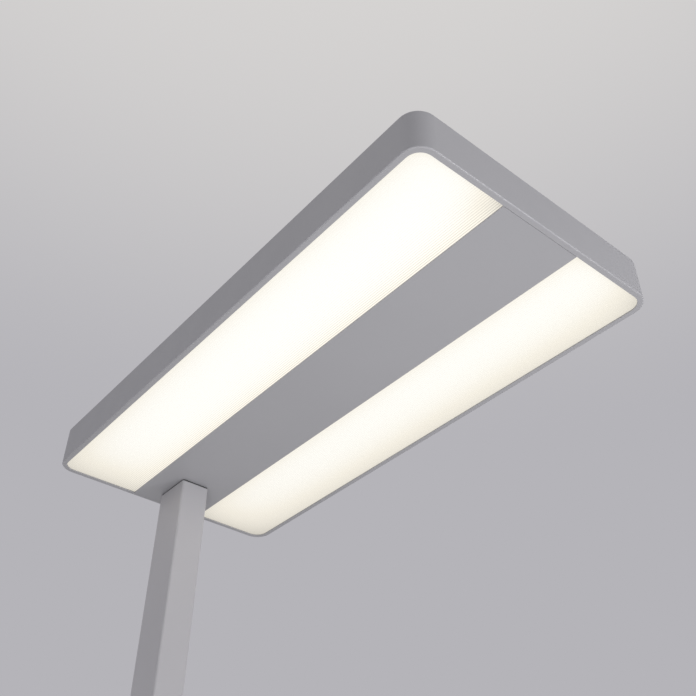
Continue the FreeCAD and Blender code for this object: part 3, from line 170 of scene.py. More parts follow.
def closed_sheet(x: np.ndarray, y: np.ndarray, low: np.ndarray | float, high: np.ndarray | float,
                 facing: Facing = Facing.UP, level: float = 0.0) -> Pair:
    """A closed shell between a lower and an upper surface over one grid.

    The point at (i, j) is (x, y, low) below and (x, y, high) above. A sheet that faces the front
    has x along +Y and y along +Z, and stands on the plane X = level.

    Args:
        x: The grid's x, or Y for a sheet that faces the front.
        y: The grid's y, or Z for a sheet that faces the front.
        low: The lower surface's height.
        high: The upper surface's height.
        facing: Which way the upper surface faces.
        level: Where the heights are counted from.

    Returns:
        The shell's points and quads.
    """
    rows, columns = x.shape
    count = rows * columns
    surfaces = [np.stack(np.broadcast_arrays(x, y, height + level), -1) for height in (low, high)]
    points = np.stack(surfaces).reshape(-1, 3)
    lower = grid_faces(rows, columns, False, False)
    i, j = np.arange(rows), np.arange(columns)
    rim = np.concatenate([i * columns, (rows - 1) * columns + j[1:], i[::-1][1:] * columns + columns - 1,
                          j[::-1][1:-1]])
    ahead = np.roll(rim, -1)
    sides = np.stack([rim, ahead, ahead + count, rim + count], -1)
    quads = np.concatenate([lower[:, ::-1], lower + count, sides])
    if facing is Facing.FRONT:
        points = points[:, [2, 0, 1]]
    return points, quads


def rounded_grid(low: np.ndarray, high: np.ndarray, radii: tuple[float, float], columns: int,
                 inner: np.ndarray | tuple[()] = (), steps: int = 9) -> Pair:
    """The x and y of a grid over a rectangle whose corners are rounded.

    Its lines run along x. A corner's lines lie at radius * (1 - cos(angle)) from its side, in equal
    angles. With d = a line's distance into the corner's zone, it reaches half the length - radius +
    sqrt(radius^2 - d^2) from the middle, in equal steps.

    Args:
        low: The rectangle's lowest x and y.
        high: Its highest x and y.
        radii: The corners' radius at the lowest y and at the highest y.
        columns: How many points each line has.
        inner: The y of more lines; those outside the rectangle are dropped.
        steps: How many lines each corner has.

    Returns:
        The grid's x and y.
    """
    turn = 1 - np.cos(np.linspace(0, math.pi / 2, steps))
    lines = np.concatenate([low[1] + radii[0] * turn, high[1] - radii[1] * turn, inner])
    # Lines less than a tenth of a micrometre apart count as one.
    lines = np.unique(np.round(lines, 7))
    lines = lines[(lines >= low[1] - 1e-9) & (lines <= high[1] + 1e-9)]
    middle, half = (low + high) / 2, (high - low) / 2
    offset = lines - middle[1]
    radius = np.where(offset < 0, *radii)
    into = np.clip(np.abs(offset) - (half[1] - radius), 0, radius)
    reach = half[0] - radius + np.sqrt(np.maximum(radius**2 - into**2, 0))
    step = np.linspace(-1, 1, columns)[:, None]
    return middle[0] + step * reach[None, :], np.broadcast_to(lines, (columns, lines.size)).copy()


def zigzag(place: np.ndarray, start: float, pitch: float) -> np.ndarray:
    """A wave of straight flanks, 0 at start and at each whole pitch from it, and 1 half way."""
    return 1 - np.abs(2 * (((place - start) / pitch) % 1) - 1)


def steps_round(sides: int) -> np.ndarray:
    """The angles of equal steps round a circle."""
    return np.linspace(0, 2 * math.pi, sides, endpoint=False)


def turned(along: np.ndarray, radius: np.ndarray, start: np.ndarray) -> Pair:
    """A closed ring round a line along -X, with its points at (radius cos a, radius sin a).

    Args:
        along: The profile's places along -X, a closed loop.
        radius: For each of these places, the radius at each step round.
        start: Where the line starts.

    Returns:
        The shell's points and quads.
    """
    rows, sides = radius.shape
    angle = steps_round(sides)
    points = np.stack([np.broadcast_to(-along[:, None], radius.shape), radius * np.cos(angle),
                       radius * np.sin(angle)], -1) + start
    return points, grid_faces(rows, sides, True, True)


# Finishes


class Nodes:
    """A material's or the world's nodes, with short calls for the ones that are often used."""

    def __init__(self, owner: bpy.types.Material | bpy.types.World, shader: str, place: str) -> None:
        """Starts with the owner's own shader and one output of its texture coordinates."""
        owner.use_nodes = True
        self.tree = owner.node_tree
        self.shader = self.tree.nodes[shader]
        self.place = self.add("ShaderNodeTexCoord", {}).outputs[place]

    def feed(self, node: bpy.types.Node, socket: int | str, value: Value) -> None:
        """Links a socket to an output, or sets its value."""
        if isinstance(value, Socket):
            self.tree.links.new(value, node.inputs[socket])
        elif isinstance(value, tuple) and len(node.inputs[socket].default_value) == 4:
            node.inputs[socket].default_value = (*value, 1.0)
        else:
            node.inputs[socket].default_value = value

    def add(self, kind: str, inputs: dict[int | str, Value], **values: object) -> bpy.types.Node:
        """Adds a node, sets its properties and feeds its inputs."""
        node = self.tree.nodes.new(kind)
        for key, value in values.items():
            setattr(node, key, value)
        for socket, value in inputs.items():
            self.feed(node, socket, value)
        return node

    def shade(self, **sockets: Value) -> None:
        """Feeds the shader's sockets, named with underscores for spaces."""
        for key, value in sockets.items():
            self.feed(self.shader, key.replace("_", " "), value)

    def math(self, operation: str, *values: Socket | float) -> Socket:
        """One step of arithmetic."""
        return self.add("ShaderNodeMath", dict(enumerate(values)), operation=operation).outputs[0]

    def decay(self, distance: Socket, reach: float) -> Socket:
        """What is left at a distance: exp(-distance / reach)."""
        return self.math("EXPONENT", self.math("DIVIDE", distance, -reach))

    def axes(self) -> list[Socket]:
        """The x, y and z of the place."""
        node = self.add("ShaderNodeSeparateXYZ", {0: self.place})
        return [node.outputs[k] for k in range(3)]

    def stretched(self, scale: Triple) -> Socket:
        """The place, stretched along each axis."""
        return self.add("ShaderNodeMapping", {"Vector": self.place, "Scale": scale}).outputs[0]

    def noise(self, size: float, detail: float = 2.0, place: Socket | None = None) -> Socket:
        """Soft noise whose spots are about `size` metres across."""
        inputs = {"Vector": place or self.place, "Scale": 1 / size, "Detail": detail}
        return self.add("ShaderNodeTexNoise", inputs).outputs["Fac"]

    def spread(self, value: Socket, low: float, high: float, start: float = 0.0, end: float = 1.0) -> Socket:
        """A value from start to end, spread smoothly from low to high and held beyond them."""
        inputs = {"Value": value, "From Min": start, "From Max": end, "To Min": low, "To Max": high}
        node = self.add("ShaderNodeMapRange", inputs, interpolation_type="SMOOTHSTEP", clamp=True)
        return node.outputs["Result"]

    def mottle(self, noise: Socket, low: float, high: float) -> Socket:
        """A noise's values, spread from low to high."""
        return self.spread(noise, low, high, NOISE_LOW, NOISE_HIGH)

    def blend(self, factor: Socket | float, first: Socket | Colour, second: Socket | Colour) -> Socket:
        """The first colour where the factor is 0, the second where it is 1."""
        return self.add("ShaderNodeMix", {0: factor, 6: first, 7: second}, data_type="RGBA").outputs[2]

    def tones(self, noise: Socket, colour: Colour, darker: float, lighter: float) -> Socket:
        """A colour mottled between a darker and a lighter tone of it, each given as a factor."""
        return self.blend(self.mottle(noise, 0.0, 1.0), shaded(colour, darker), shaded(colour, lighter))

    def relief(self, height: Socket, depth: float, strength: float) -> None:
        """Fine relief of the given depth in metres."""
        inputs = {"Strength": strength, "Distance": depth, "Height": height}
        self.shade(Normal=self.add("ShaderNodeBump", inputs).outputs[0])


def shaded(colour: Colour, factor: float) -> Colour:
    """A colour made lighter or darker by a factor."""
    return tuple(min(1.0, channel * factor) for channel in colour)


class Finish:
    """A procedural finish."""

    def paint(self, nodes: Nodes) -> None:
        """Builds the finish out of nodes."""
        raise NotImplementedError

    def make(self, name: str) -> bpy.types.Material:
        """Makes the finish's material."""
        material = bpy.data.materials.new(name)
        self.paint(Nodes(material, "Principled BSDF", "Object"))
        return material


@dataclass(frozen=True)
class PlainFinish(Finish):
    """A finish of one colour.

    Attributes:
        colour: Its colour.
        roughness: Its mean roughness.
    """

    colour: Colour
    roughness: float


@dataclass(frozen=True)
class PowderCoat(PlainFinish):
    """Baked powder coat: fine orange peel, faint flake, and a slow drift in tone.

    Attributes:
        peel: The size of the orange peel, in metres.
        scuff: How much the handled places are polished, 0 to 1.
    """

    roughness: float = 0.38
    peel: float = 0.0009
    scuff: float = 0.0

    def paint(self, nodes: Nodes) -> None:
        """Builds it: tone = drift + flake, roughness = mean - polish, relief = orange peel."""
        drift = nodes.mottle(nodes.noise(0.22), 0.0, 0.6)
        flake = nodes.mottle(nodes.noise(0.0007, 1.0), 0.0, 0.4)
        tone = nodes.math("ADD", drift, flake)
        nodes.shade(Base_Color=nodes.blend(tone, shaded(self.colour, 0.975), shaded(self.colour, 1.025)))
        streak = nodes.noise(0.02, 3.0, nodes.stretched((1.0, 1.0, 0.3)))
        polish = nodes.spread(streak, 0.0, self.scuff, 0.55, 0.75)
        rough = nodes.mottle(nodes.noise(0.03), self.roughness - 0.03, self.roughness + 0.03)
        nodes.shade(Roughness=nodes.math("SUBTRACT", rough, polish), Metallic=0.0, Specular_IOR_Level=0.5)
        nodes.relief(nodes.noise(self.peel), 0.000012, 0.4)


@dataclass(frozen=True)
class BrushedMetal(PlainFinish):
    """Drawn or plated steel with fine parallel streaks.

    Attributes:
        grain: How the streaks are stretched along X, Y and Z; small numbers run long.
    """

    grain: Triple = (0.05, 1.0, 1.0)

    def paint(self, nodes: Nodes) -> None:
        """Builds it: streaks in tone, roughness and relief, and dull patina in tone."""
        streaks = nodes.noise(0.0012, 3.0, nodes.stretched(self.grain))
        patina = nodes.spread(nodes.noise(0.015, 3.0), 0.0, 0.25, 0.4, 0.8)
        tint = nodes.tones(streaks, self.colour, 0.86, 1.08)
        nodes.shade(Base_Color=nodes.blend(patina, tint, shaded(self.colour, 0.7)), Metallic=1.0,
                    Roughness=nodes.mottle(streaks, self.roughness - 0.07, self.roughness + 0.09))
        nodes.relief(streaks, 0.00002, 0.5)


@dataclass(frozen=True)
class CastMetal(PlainFinish):
    """Die-cast alloy with a grainy skin and soft blotches."""

    def paint(self, nodes: Nodes) -> None:
        """Builds it: fine grain in relief, blotches in tone and roughness."""
        blotch = nodes.noise(0.012, 4.0)
        nodes.shade(Base_Color=nodes.tones(blotch, self.colour, 0.85, 1.1), Metallic=0.9,
                    Roughness=nodes.mottle(blotch, self.roughness - 0.08, self.roughness + 0.08))
        nodes.relief(nodes.noise(0.0006, 3.0), 0.00005, 0.7)


@dataclass(frozen=True)
class MouldedPlastic(PlainFinish):
    """Moulded plastic with a spark-eroded grain.

    Attributes:
        grain: The grain's size, in metres.
        depth: The grain's depth, in metres.
    """

    grain: float = 0.0005
    depth: float = 0.00003

    def paint(self, nodes: Nodes) -> None:
        """Builds it: grain in relief, flow clouds in tone, dust in roughness."""
        grain = nodes.noise(self.grain)
        nodes.shade(Base_Color=nodes.tones(nodes.noise(0.02), self.colour, 0.975, 1.025),
                    Roughness=nodes.mottle(grain, self.roughness - 0.05, self.roughness + 0.05))
        nodes.relief(grain, self.depth, 0.7)


@dataclass(frozen=True)
class MouldedRubber(Finish):
    """Matt rubber with a dusty bloom.

    Attributes:
        colour: The rubber's colour.
        bloom: The colour of the dusty places.
    """

    colour: Colour
    bloom: Colour

    def paint(self, nodes: Nodes) -> None:
        """Builds it: bloom follows cloudy noise, pores are in relief."""
        dust = nodes.spread(nodes.noise(0.018, 4.0), 0.0, 0.5, 0.45, 0.75)
        pores = nodes.noise(0.0008)
        nodes.shade(Base_Color=nodes.blend(dust, self.colour, self.bloom), Sheen_Weight=0.15,
                    Sheen_Roughness=0.5, Roughness=nodes.mottle(pores, 0.72, 0.9))
        nodes.relief(pores, 0.00006, 0.6)


@dataclass(frozen=True)
class LitPrisms(Finish):
    """An acrylic prism panel lit from behind: full in its middle, dimmer and warmer at its rim.

    A loss is the share of the light that is lost at an edge, and how far that loss spreads, in metres.

    Attributes:
        low: The lowest x and y of what shows of the panel.
        high: The highest x and y of it.
        high_side: The loss at the edge on the +Y side.
        corner: The loss at the free end's +Y corner.
        pitch: The prisms' pitch.
        ripple: How much the prisms' flanks differ in brightness at the +Y edge.
        ripple_reach: How far that difference spreads.
        low_side: The loss at the edge on the -Y side.
        mast_end: The loss at the mast's end.
        slow_loss: A second loss from the mast's end, that spreads far.
        free_end: The loss at the free end.
        strength: The light in the middle.
        warm_share: The share of it at which the light is as warm as at the rim.
        full_share: The share of it at which the light has its full colour.
        full: The light's colour where it is brightest.
        dim: Its colour at the rim.
    """

    low: tuple[float, float]
    high: tuple[float, float]
    high_side: Loss
    corner: Loss
    pitch: float
    ripple: float
    ripple_reach: float = 0.03
    low_side: Loss = (0.10, 0.015)
    mast_end: Loss = (0.28, 0.035)
    slow_loss: Loss = (0.035, 0.2)
    free_end: Loss = (0.05, 0.008)
    strength: float = 0.90
    warm_share: float = 0.84
    full_share: float = 1.02
    full: Colour = (1.0, 0.99, 0.95)
    dim: Colour = (1.0, 0.947, 0.835)

    def paint(self, nodes: Nodes) -> None:
        """Builds it.

        The light is strength x the product of 1 - loss x exp(-distance / reach) over the losses. The
        prisms multiply it by 1 + ripple x exp(-distance / ripple_reach) x sin(2 pi distance / pitch),
        with the distance from the +Y edge.
        """
        x, y, _ = nodes.axes()
        from_low = nodes.math("SUBTRACT", y, self.low[1])
        from_high = nodes.math("SUBTRACT", self.high[1], y)
        from_mast_end = nodes.math("SUBTRACT", x, self.low[0])
        from_free_end = nodes.math("SUBTRACT", self.high[0], x)
        from_corner = nodes.math("SQRT", nodes.math("ADD", nodes.math("POWER", from_free_end, 2.0),
                                                    nodes.math("POWER", from_high, 2.0)))
        light = self.strength
        for distance, (loss, reach) in ((from_low, self.low_side), (from_high, self.high_side),
                                        (from_mast_end, self.mast_end), (from_mast_end, self.slow_loss),
                                        (from_free_end, self.free_end), (from_corner, self.corner)):
            share = nodes.math("MULTIPLY_ADD", nodes.decay(distance, reach), -loss, 1.0)
            light = nodes.math("MULTIPLY", share, light)
        wave = nodes.math("SINE", nodes.math("MULTIPLY", from_high, 2 * math.pi / self.pitch))
        shown = nodes.math("MULTIPLY", wave, nodes.decay(from_high, self.ripple_reach))
        flanks = nodes.math("MULTIPLY_ADD", shown, self.ripple, 1.0)
        warm, clear = self.warm_share * self.strength, self.full_share * self.strength
        warmth = nodes.spread(light, 1.0, 0.0, warm, clear)
        nodes.shade(Base_Color=nodes.blend(warmth, (0.125, 0.125, 0.12), (0.12, 0.117, 0.105)),
                    Emission_Color=nodes.blend(warmth, self.full, self.dim),
                    Emission_Strength=nodes.math("MULTIPLY", light, flanks),
                    Roughness=0.42, IOR=1.49, Specular_IOR_Level=0.15)


@dataclass(frozen=True)
class FrostedCover(Finish):
    """A frosted clear cover that glows over its row of lights.

    Attributes:
        row_y: Where the row of lights lies.
        glow: The light over the row.
        reach: How far the glow spreads from the row.
    """

    row_y: float
    glow: float
    reach: float

    def paint(self, nodes: Nodes) -> None:
        """Builds it: glow falls off smoothly with the distance from the row."""
        _, y, _ = nodes.axes()
        distance = nodes.math("ABSOLUTE", nodes.math("SUBTRACT", y, self.row_y))
        glow = nodes.spread(distance, self.glow, self.glow * 0.45, 0.0, self.reach)
        frost = nodes.noise(0.0012, 3.0)
        clear, milky = (0.83, 0.85, 0.86), (0.92, 0.93, 0.93)
        nodes.shade(Base_Color=nodes.blend(nodes.mottle(frost, 0.0, 1.0), clear, milky),
                    Roughness=nodes.mottle(frost, 0.28, 0.42), IOR=1.49, Transmission_Weight=0.35,
                    Emission_Color=(1.0, 0.97, 0.9), Emission_Strength=glow)
        nodes.relief(frost, 0.00003, 0.5)


@dataclass(frozen=True)
class CircuitBoard(Finish):
    """A printed board: solder mask, copper tracks under it, and bare pads.

    Attributes:
        mask: The solder mask's colour.
        track: The colour of the mask over copper.
        pad: The bare pads' colour.
        pitch: The pads' pitch, in metres.
    """

    mask: Colour
    track: Colour
    pad: Colour
    pitch: float

    def paint(self, nodes: Nodes) -> None:
        """Builds it: bricks make the tracks, and a fine grid of dots the pads."""
        bricks = nodes.add("ShaderNodeTexBrick", {"Vector": nodes.place, "Scale": 1 / self.pitch,
                                                  "Mortar Size": 0.06, "Brick Width": 1.7})
        dots = nodes.add("ShaderNodeTexVoronoi", {"Vector": nodes.place, "Scale": 0.5 / self.pitch,
                                                  "Randomness": 0.25}, feature="DISTANCE_TO_EDGE")
        pads = nodes.spread(dots.outputs["Distance"], 0.0, 1.0, 0.4, 0.42)
        base = nodes.blend(bricks.outputs["Fac"], self.mask, self.track)
        nodes.shade(Base_Color=nodes.blend(pads, base, self.pad), Metallic=pads,
                    Roughness=nodes.mottle(nodes.noise(0.004), 0.3, 0.42),
                    Coat_Weight=0.3, Coat_Roughness=0.2)
        nodes.relief(bricks.outputs["Fac"], 0.00004, 0.6)


@dataclass(frozen=True)
class LightChip(Finish):
    """The yellow phosphor of a light chip, which glows.

    Attributes:
        phosphor: The phosphor's colour.
        glow: Its light.
    """

    phosphor: Colour
    glow: float

    def paint(self, nodes: Nodes) -> None:
        """Builds it: fine grain in tone and in the glow."""
        grain = nodes.noise(0.0002)
        nodes.shade(Base_Color=nodes.tones(grain, self.phosphor, 0.8, 1.0),
                    Emission_Color=(1.0, 0.92, 0.75), Roughness=0.3, Coat_Weight=0.5,
                    Emission_Strength=nodes.mottle(grain, self.glow * 0.9, self.glow))


@dataclass(frozen=True)
class CoreSheaths(Finish):
    """The sheaths of three mains cores side by side: brown, blue, and green with yellow stripes.

    Attributes:
        middle_y: Where the middle core lies.
        half_gap: Half the distance between two cores.
        stripe_rate: The stripes' phase per metre, in radians.
        stripe_edge: Above this value of the stripes' sine, the sheath is yellow.
    """

    middle_y: float
    half_gap: float
    stripe_rate: float = 2600.0
    stripe_edge: float = 0.2

    def paint(self, nodes: Nodes) -> None:
        """Builds it: the colour follows y, the stripes follow sin(stripe_rate x z)."""
        _, y, z = nodes.axes()
        blue = nodes.math("GREATER_THAN", y, self.middle_y - self.half_gap)
        earth = nodes.math("GREATER_THAN", y, self.middle_y + self.half_gap)
        weave = nodes.noise(0.004, 1.0, nodes.stretched((0.2, 1.0, 1.0)))
        wave = nodes.math("SINE", nodes.math("MULTIPLY", z, self.stripe_rate))
        stripe = nodes.math("GREATER_THAN", wave, self.stripe_edge)
        green = nodes.blend(stripe, (0.03, 0.3, 0.06), (0.75, 0.62, 0.03))
        pair = nodes.blend(blue, (0.13, 0.05, 0.02), (0.02, 0.1, 0.45))
        nodes.shade(Base_Color=nodes.blend(earth, pair, green), Roughness=nodes.spread(weave, 0.38, 0.5))
        nodes.relief(weave, 0.00003, 0.4)


@dataclass(frozen=True)
class StudioSurface(Finish):
    """The studio's pale floor, with a barely visible cloudiness.

    Attributes:
        colour: The floor's colour.
    """

    colour: Colour

    def paint(self, nodes: Nodes) -> None:
        """Builds it: two near tones over slow noise."""
        nodes.shade(Base_Color=nodes.tones(nodes.noise(1.2, 3.0), self.colour, 0.98, 1.02),
                    Roughness=0.85, Specular_IOR_Level=0.2)


@dataclass(frozen=True)
class Palette:
    """Every shared finish of the lamp, made once."""

    head_paint: PowderCoat = PowderCoat((0.336, 0.334, 0.350))
    # The mast's paint is the head's silver-grey made lighter. This is partly painted light, standing in for
    # the panels' glow that falls on the mast.
    mast_paint: PowderCoat = PowderCoat((0.428, 0.422, 0.440))
    base_paint: PowderCoat = PowderCoat((0.40, 0.398, 0.415), scuff=0.05)
    painted_screw: PowderCoat = PowderCoat((0.38, 0.375, 0.395), roughness=0.45)
    zinc_steel: BrushedMetal = BrushedMetal((0.66, 0.67, 0.68), 0.34)
    cast_alloy: CastMetal = CastMetal((0.55, 0.55, 0.54), 0.45)
    reflector_white: MouldedPlastic = MouldedPlastic((0.86, 0.86, 0.84), 0.5, 0.0012)
    led_board: CircuitBoard = CircuitBoard((0.85, 0.86, 0.84), (0.78, 0.79, 0.77), (0.8, 0.72, 0.5), 0.006)
    led_chip: LightChip = LightChip((0.95, 0.75, 0.2), 2.0)
    control_circuit: CircuitBoard = CircuitBoard((0.03, 0.16, 0.07), (0.05, 0.24, 0.1),
                                                 (0.75, 0.72, 0.6), 0.003)
    driver_case: MouldedPlastic = MouldedPlastic((0.75, 0.75, 0.73), 0.4, 0.001)
    light_plastic: MouldedPlastic = MouldedPlastic((0.78, 0.78, 0.74), 0.38, 0.0006)
    dark_plastic: MouldedPlastic = MouldedPlastic((0.045, 0.046, 0.05), 0.42)
    key_plastic: MouldedPlastic = MouldedPlastic((0.14, 0.142, 0.15), 0.34, 0.0004)
    mark_paint: MouldedPlastic = MouldedPlastic((0.85, 0.86, 0.88), 0.45, 0.0003)
    black_rubber: MouldedRubber = MouldedRubber((0.03, 0.03, 0.032), (0.09, 0.09, 0.085))
    dome_rubber: MouldedRubber = MouldedRubber((0.35, 0.35, 0.34), (0.45, 0.45, 0.43))

    def finish(self, name: str) -> bpy.types.Material:
        """The material of one finish, made the first time that it is asked for."""
        title = f"{name}_finish"
        return bpy.data.materials.get(title) or getattr(self, name).make(title)


def dress(material: bpy.types.Material, *names: str) -> None:
    """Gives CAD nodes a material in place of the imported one."""
    for name in names:
        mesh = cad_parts[name].data
        mesh.materials.clear()
        mesh.materials.append(material)
        LOG.info("%s: dressed in %s", name, material.name)


# Studio and sub-assemblies


@dataclass(frozen=True)
class Softbox:
    """A square soft light.

    Attributes:
        name: The light's name.
        place: Where it stands.
        aim: The point that it faces.
        size: Its side, in metres.
        power: Its power, in watts.
        fan: How wide its light fans out, in degrees.
    """

    name: str
    place: Triple
    aim: Triple
    size: float
    power: float
    fan: float = 180.0


@dataclass
class Studio:
    """The camera, the floor and the soft lights.

    Attributes:
        camera_place: Where the photograph was taken from.
        camera_turn: The camera's Euler angles, in degrees.
        focal_pixels: The focal length, in pixels of the photograph.
        photo_pixels: The photograph's width.
        sensor: The sensor's width, in millimetres.
        floor_radius: The floor's radius.
        floor_colour: The floor's colour.
        floor_rings: How many rings of points the floor has.
        floor_spokes: How many points each ring has.
        side_level: The daylight near the horizon.
        top_level: The daylight overhead.
        side_rise: How far up the daylight near the horizon reaches, as the sine of the angle.
        top_rise: Where the daylight overhead starts, as the sine of the angle.
        lights: The softboxes round the lamp.
    """

    camera_place: Triple = (0.9911, -0.5135, 1.2860)
    camera_turn: Triple = (128.555, -0.479, 50.640)
    focal_pixels: float = 893.2
    photo_pixels: float = 696.0
    sensor: float = 36.0
    floor_radius: float = 9.0
    floor_colour: Colour = (0.80, 0.80, 0.805)
    floor_rings: int = 11
    floor_spokes: int = 64
    side_level: Colour = (0.462, 0.456, 0.485)
    top_level: Colour = (0.689, 0.674, 0.662)
    side_rise: float = 0.52
    top_rise: float = 0.95
    lights: tuple[Softbox, ...] = (
        Softbox("front_softbox", (3.2, 1.3, 0.7), (0.3, 0.0, 1.5), 1.8, 15.0, 120.0),
        Softbox("edge_softbox", (3.2, 1.55, 0.5), (0.65, 0.0, 1.9), 0.5, 2.4, 60.0),
        Softbox("side_softbox", (2.6, 2.6, 3.4), (0.6, 0.0, 1.9), 2.2, 5.0),
        Softbox("free_end_softbox", (0.95, -0.55, 0.25), (0.75, 0.0, 1.9), 0.8, 3.1, 80.0),
        Softbox("rear_softbox", (-1.8, -2.4, 1.3), (0.0, 0.0, 1.6), 1.6, 7.4),
    )

    def build_camera(self) -> None:
        """Places the camera where the photograph was taken from."""
        data = bpy.data.cameras.new("photograph")
        data.sensor_width = self.sensor
        data.lens = self.focal_pixels / self.photo_pixels * self.sensor
        camera = linked("photograph", data)
        camera.location = self.camera_place
        camera.rotation_euler = Euler([math.radians(angle) for angle in self.camera_turn])
        bpy.context.scene.camera = camera

    def build_floor(self) -> None:
        """Lays a round pale floor: a grid in rings and spokes, r (cos a, sin a)."""
        radius = np.linspace(0.0, self.floor_radius, self.floor_rings + 1)[1:, None]
        angle = steps_round(self.floor_spokes)
        flat = np.zeros((self.floor_rings, self.floor_spokes))
        points = np.stack([radius * np.cos(angle), radius * np.sin(angle), flat], -1)
        quads = grid_faces(self.floor_rings, self.floor_spokes, False, True).tolist()
        middle = list(range(self.floor_spokes))
        mesh = bpy.data.meshes.new("studio_floor")
        mesh.from_pydata(points.reshape(-1, 3).tolist(), [], [*quads, middle])
        mesh.materials.append(StudioSurface(self.floor_colour).make("studio_floor"))
        floor = linked("studio_floor", mesh)

    def build_daylight(self) -> None:
        """Makes daylight that turns from the side level into the top level on its way up."""
        world = bpy.data.worlds.new("daylight")
        nodes = Nodes(world, "Background", "Generated")
        rise = nodes.spread(nodes.axes()[2], 0.0, 1.0, self.side_rise, self.top_rise)
        nodes.shade(Color=nodes.blend(rise, self.side_level, self.top_level))
        bpy.context.scene.world = world

    def soft_light(self, softbox: Softbox) -> None:
        """Adds a square soft light, unseen by the camera."""
        data = bpy.data.lights.new(softbox.name, "AREA")
        data.shape = "SQUARE"
        data.size = softbox.size
        data.energy = softbox.power
        data.spread = math.radians(softbox.fan)
        light = linked(softbox.name, data)
        light.location = softbox.place
        direction = Vector(softbox.aim) - Vector(softbox.place)
        light.rotation_euler = direction.to_track_quat("-Z", "Y").to_euler()
        light.visible_camera = False

    def build(self) -> None:
        """Sets up the camera, the floor and the lights."""
        bpy.context.scene.view_settings.view_transform = "Standard"
        self.build_camera()
        self.build_floor()
        self.build_daylight()
        for light in self.lights:
            self.soft_light(light)


@dataclass
class SubAssembly:
    """A group of pieces of the lamp.

    Attributes:
        looks: The CAD nodes that each finish goes on; a name in braces stands for the field's value.
        palette: The shared finishes.
    """

    looks: ClassVar[dict[str, str]]
    palette: Palette

    def build(self) -> None:
        """Dresses the group's CAD nodes."""
        for finish, names in self.looks.items():
            dress(self.palette.finish(finish), *names.format_map(vars(self)).split())


class HeadShell(SubAssembly):
    """The head's outer skin: frame, centre strip, top plate and screws."""

    looks = {"head_paint": "head_frame centre_strip top_plate", "painted_screw": "top_screws"}


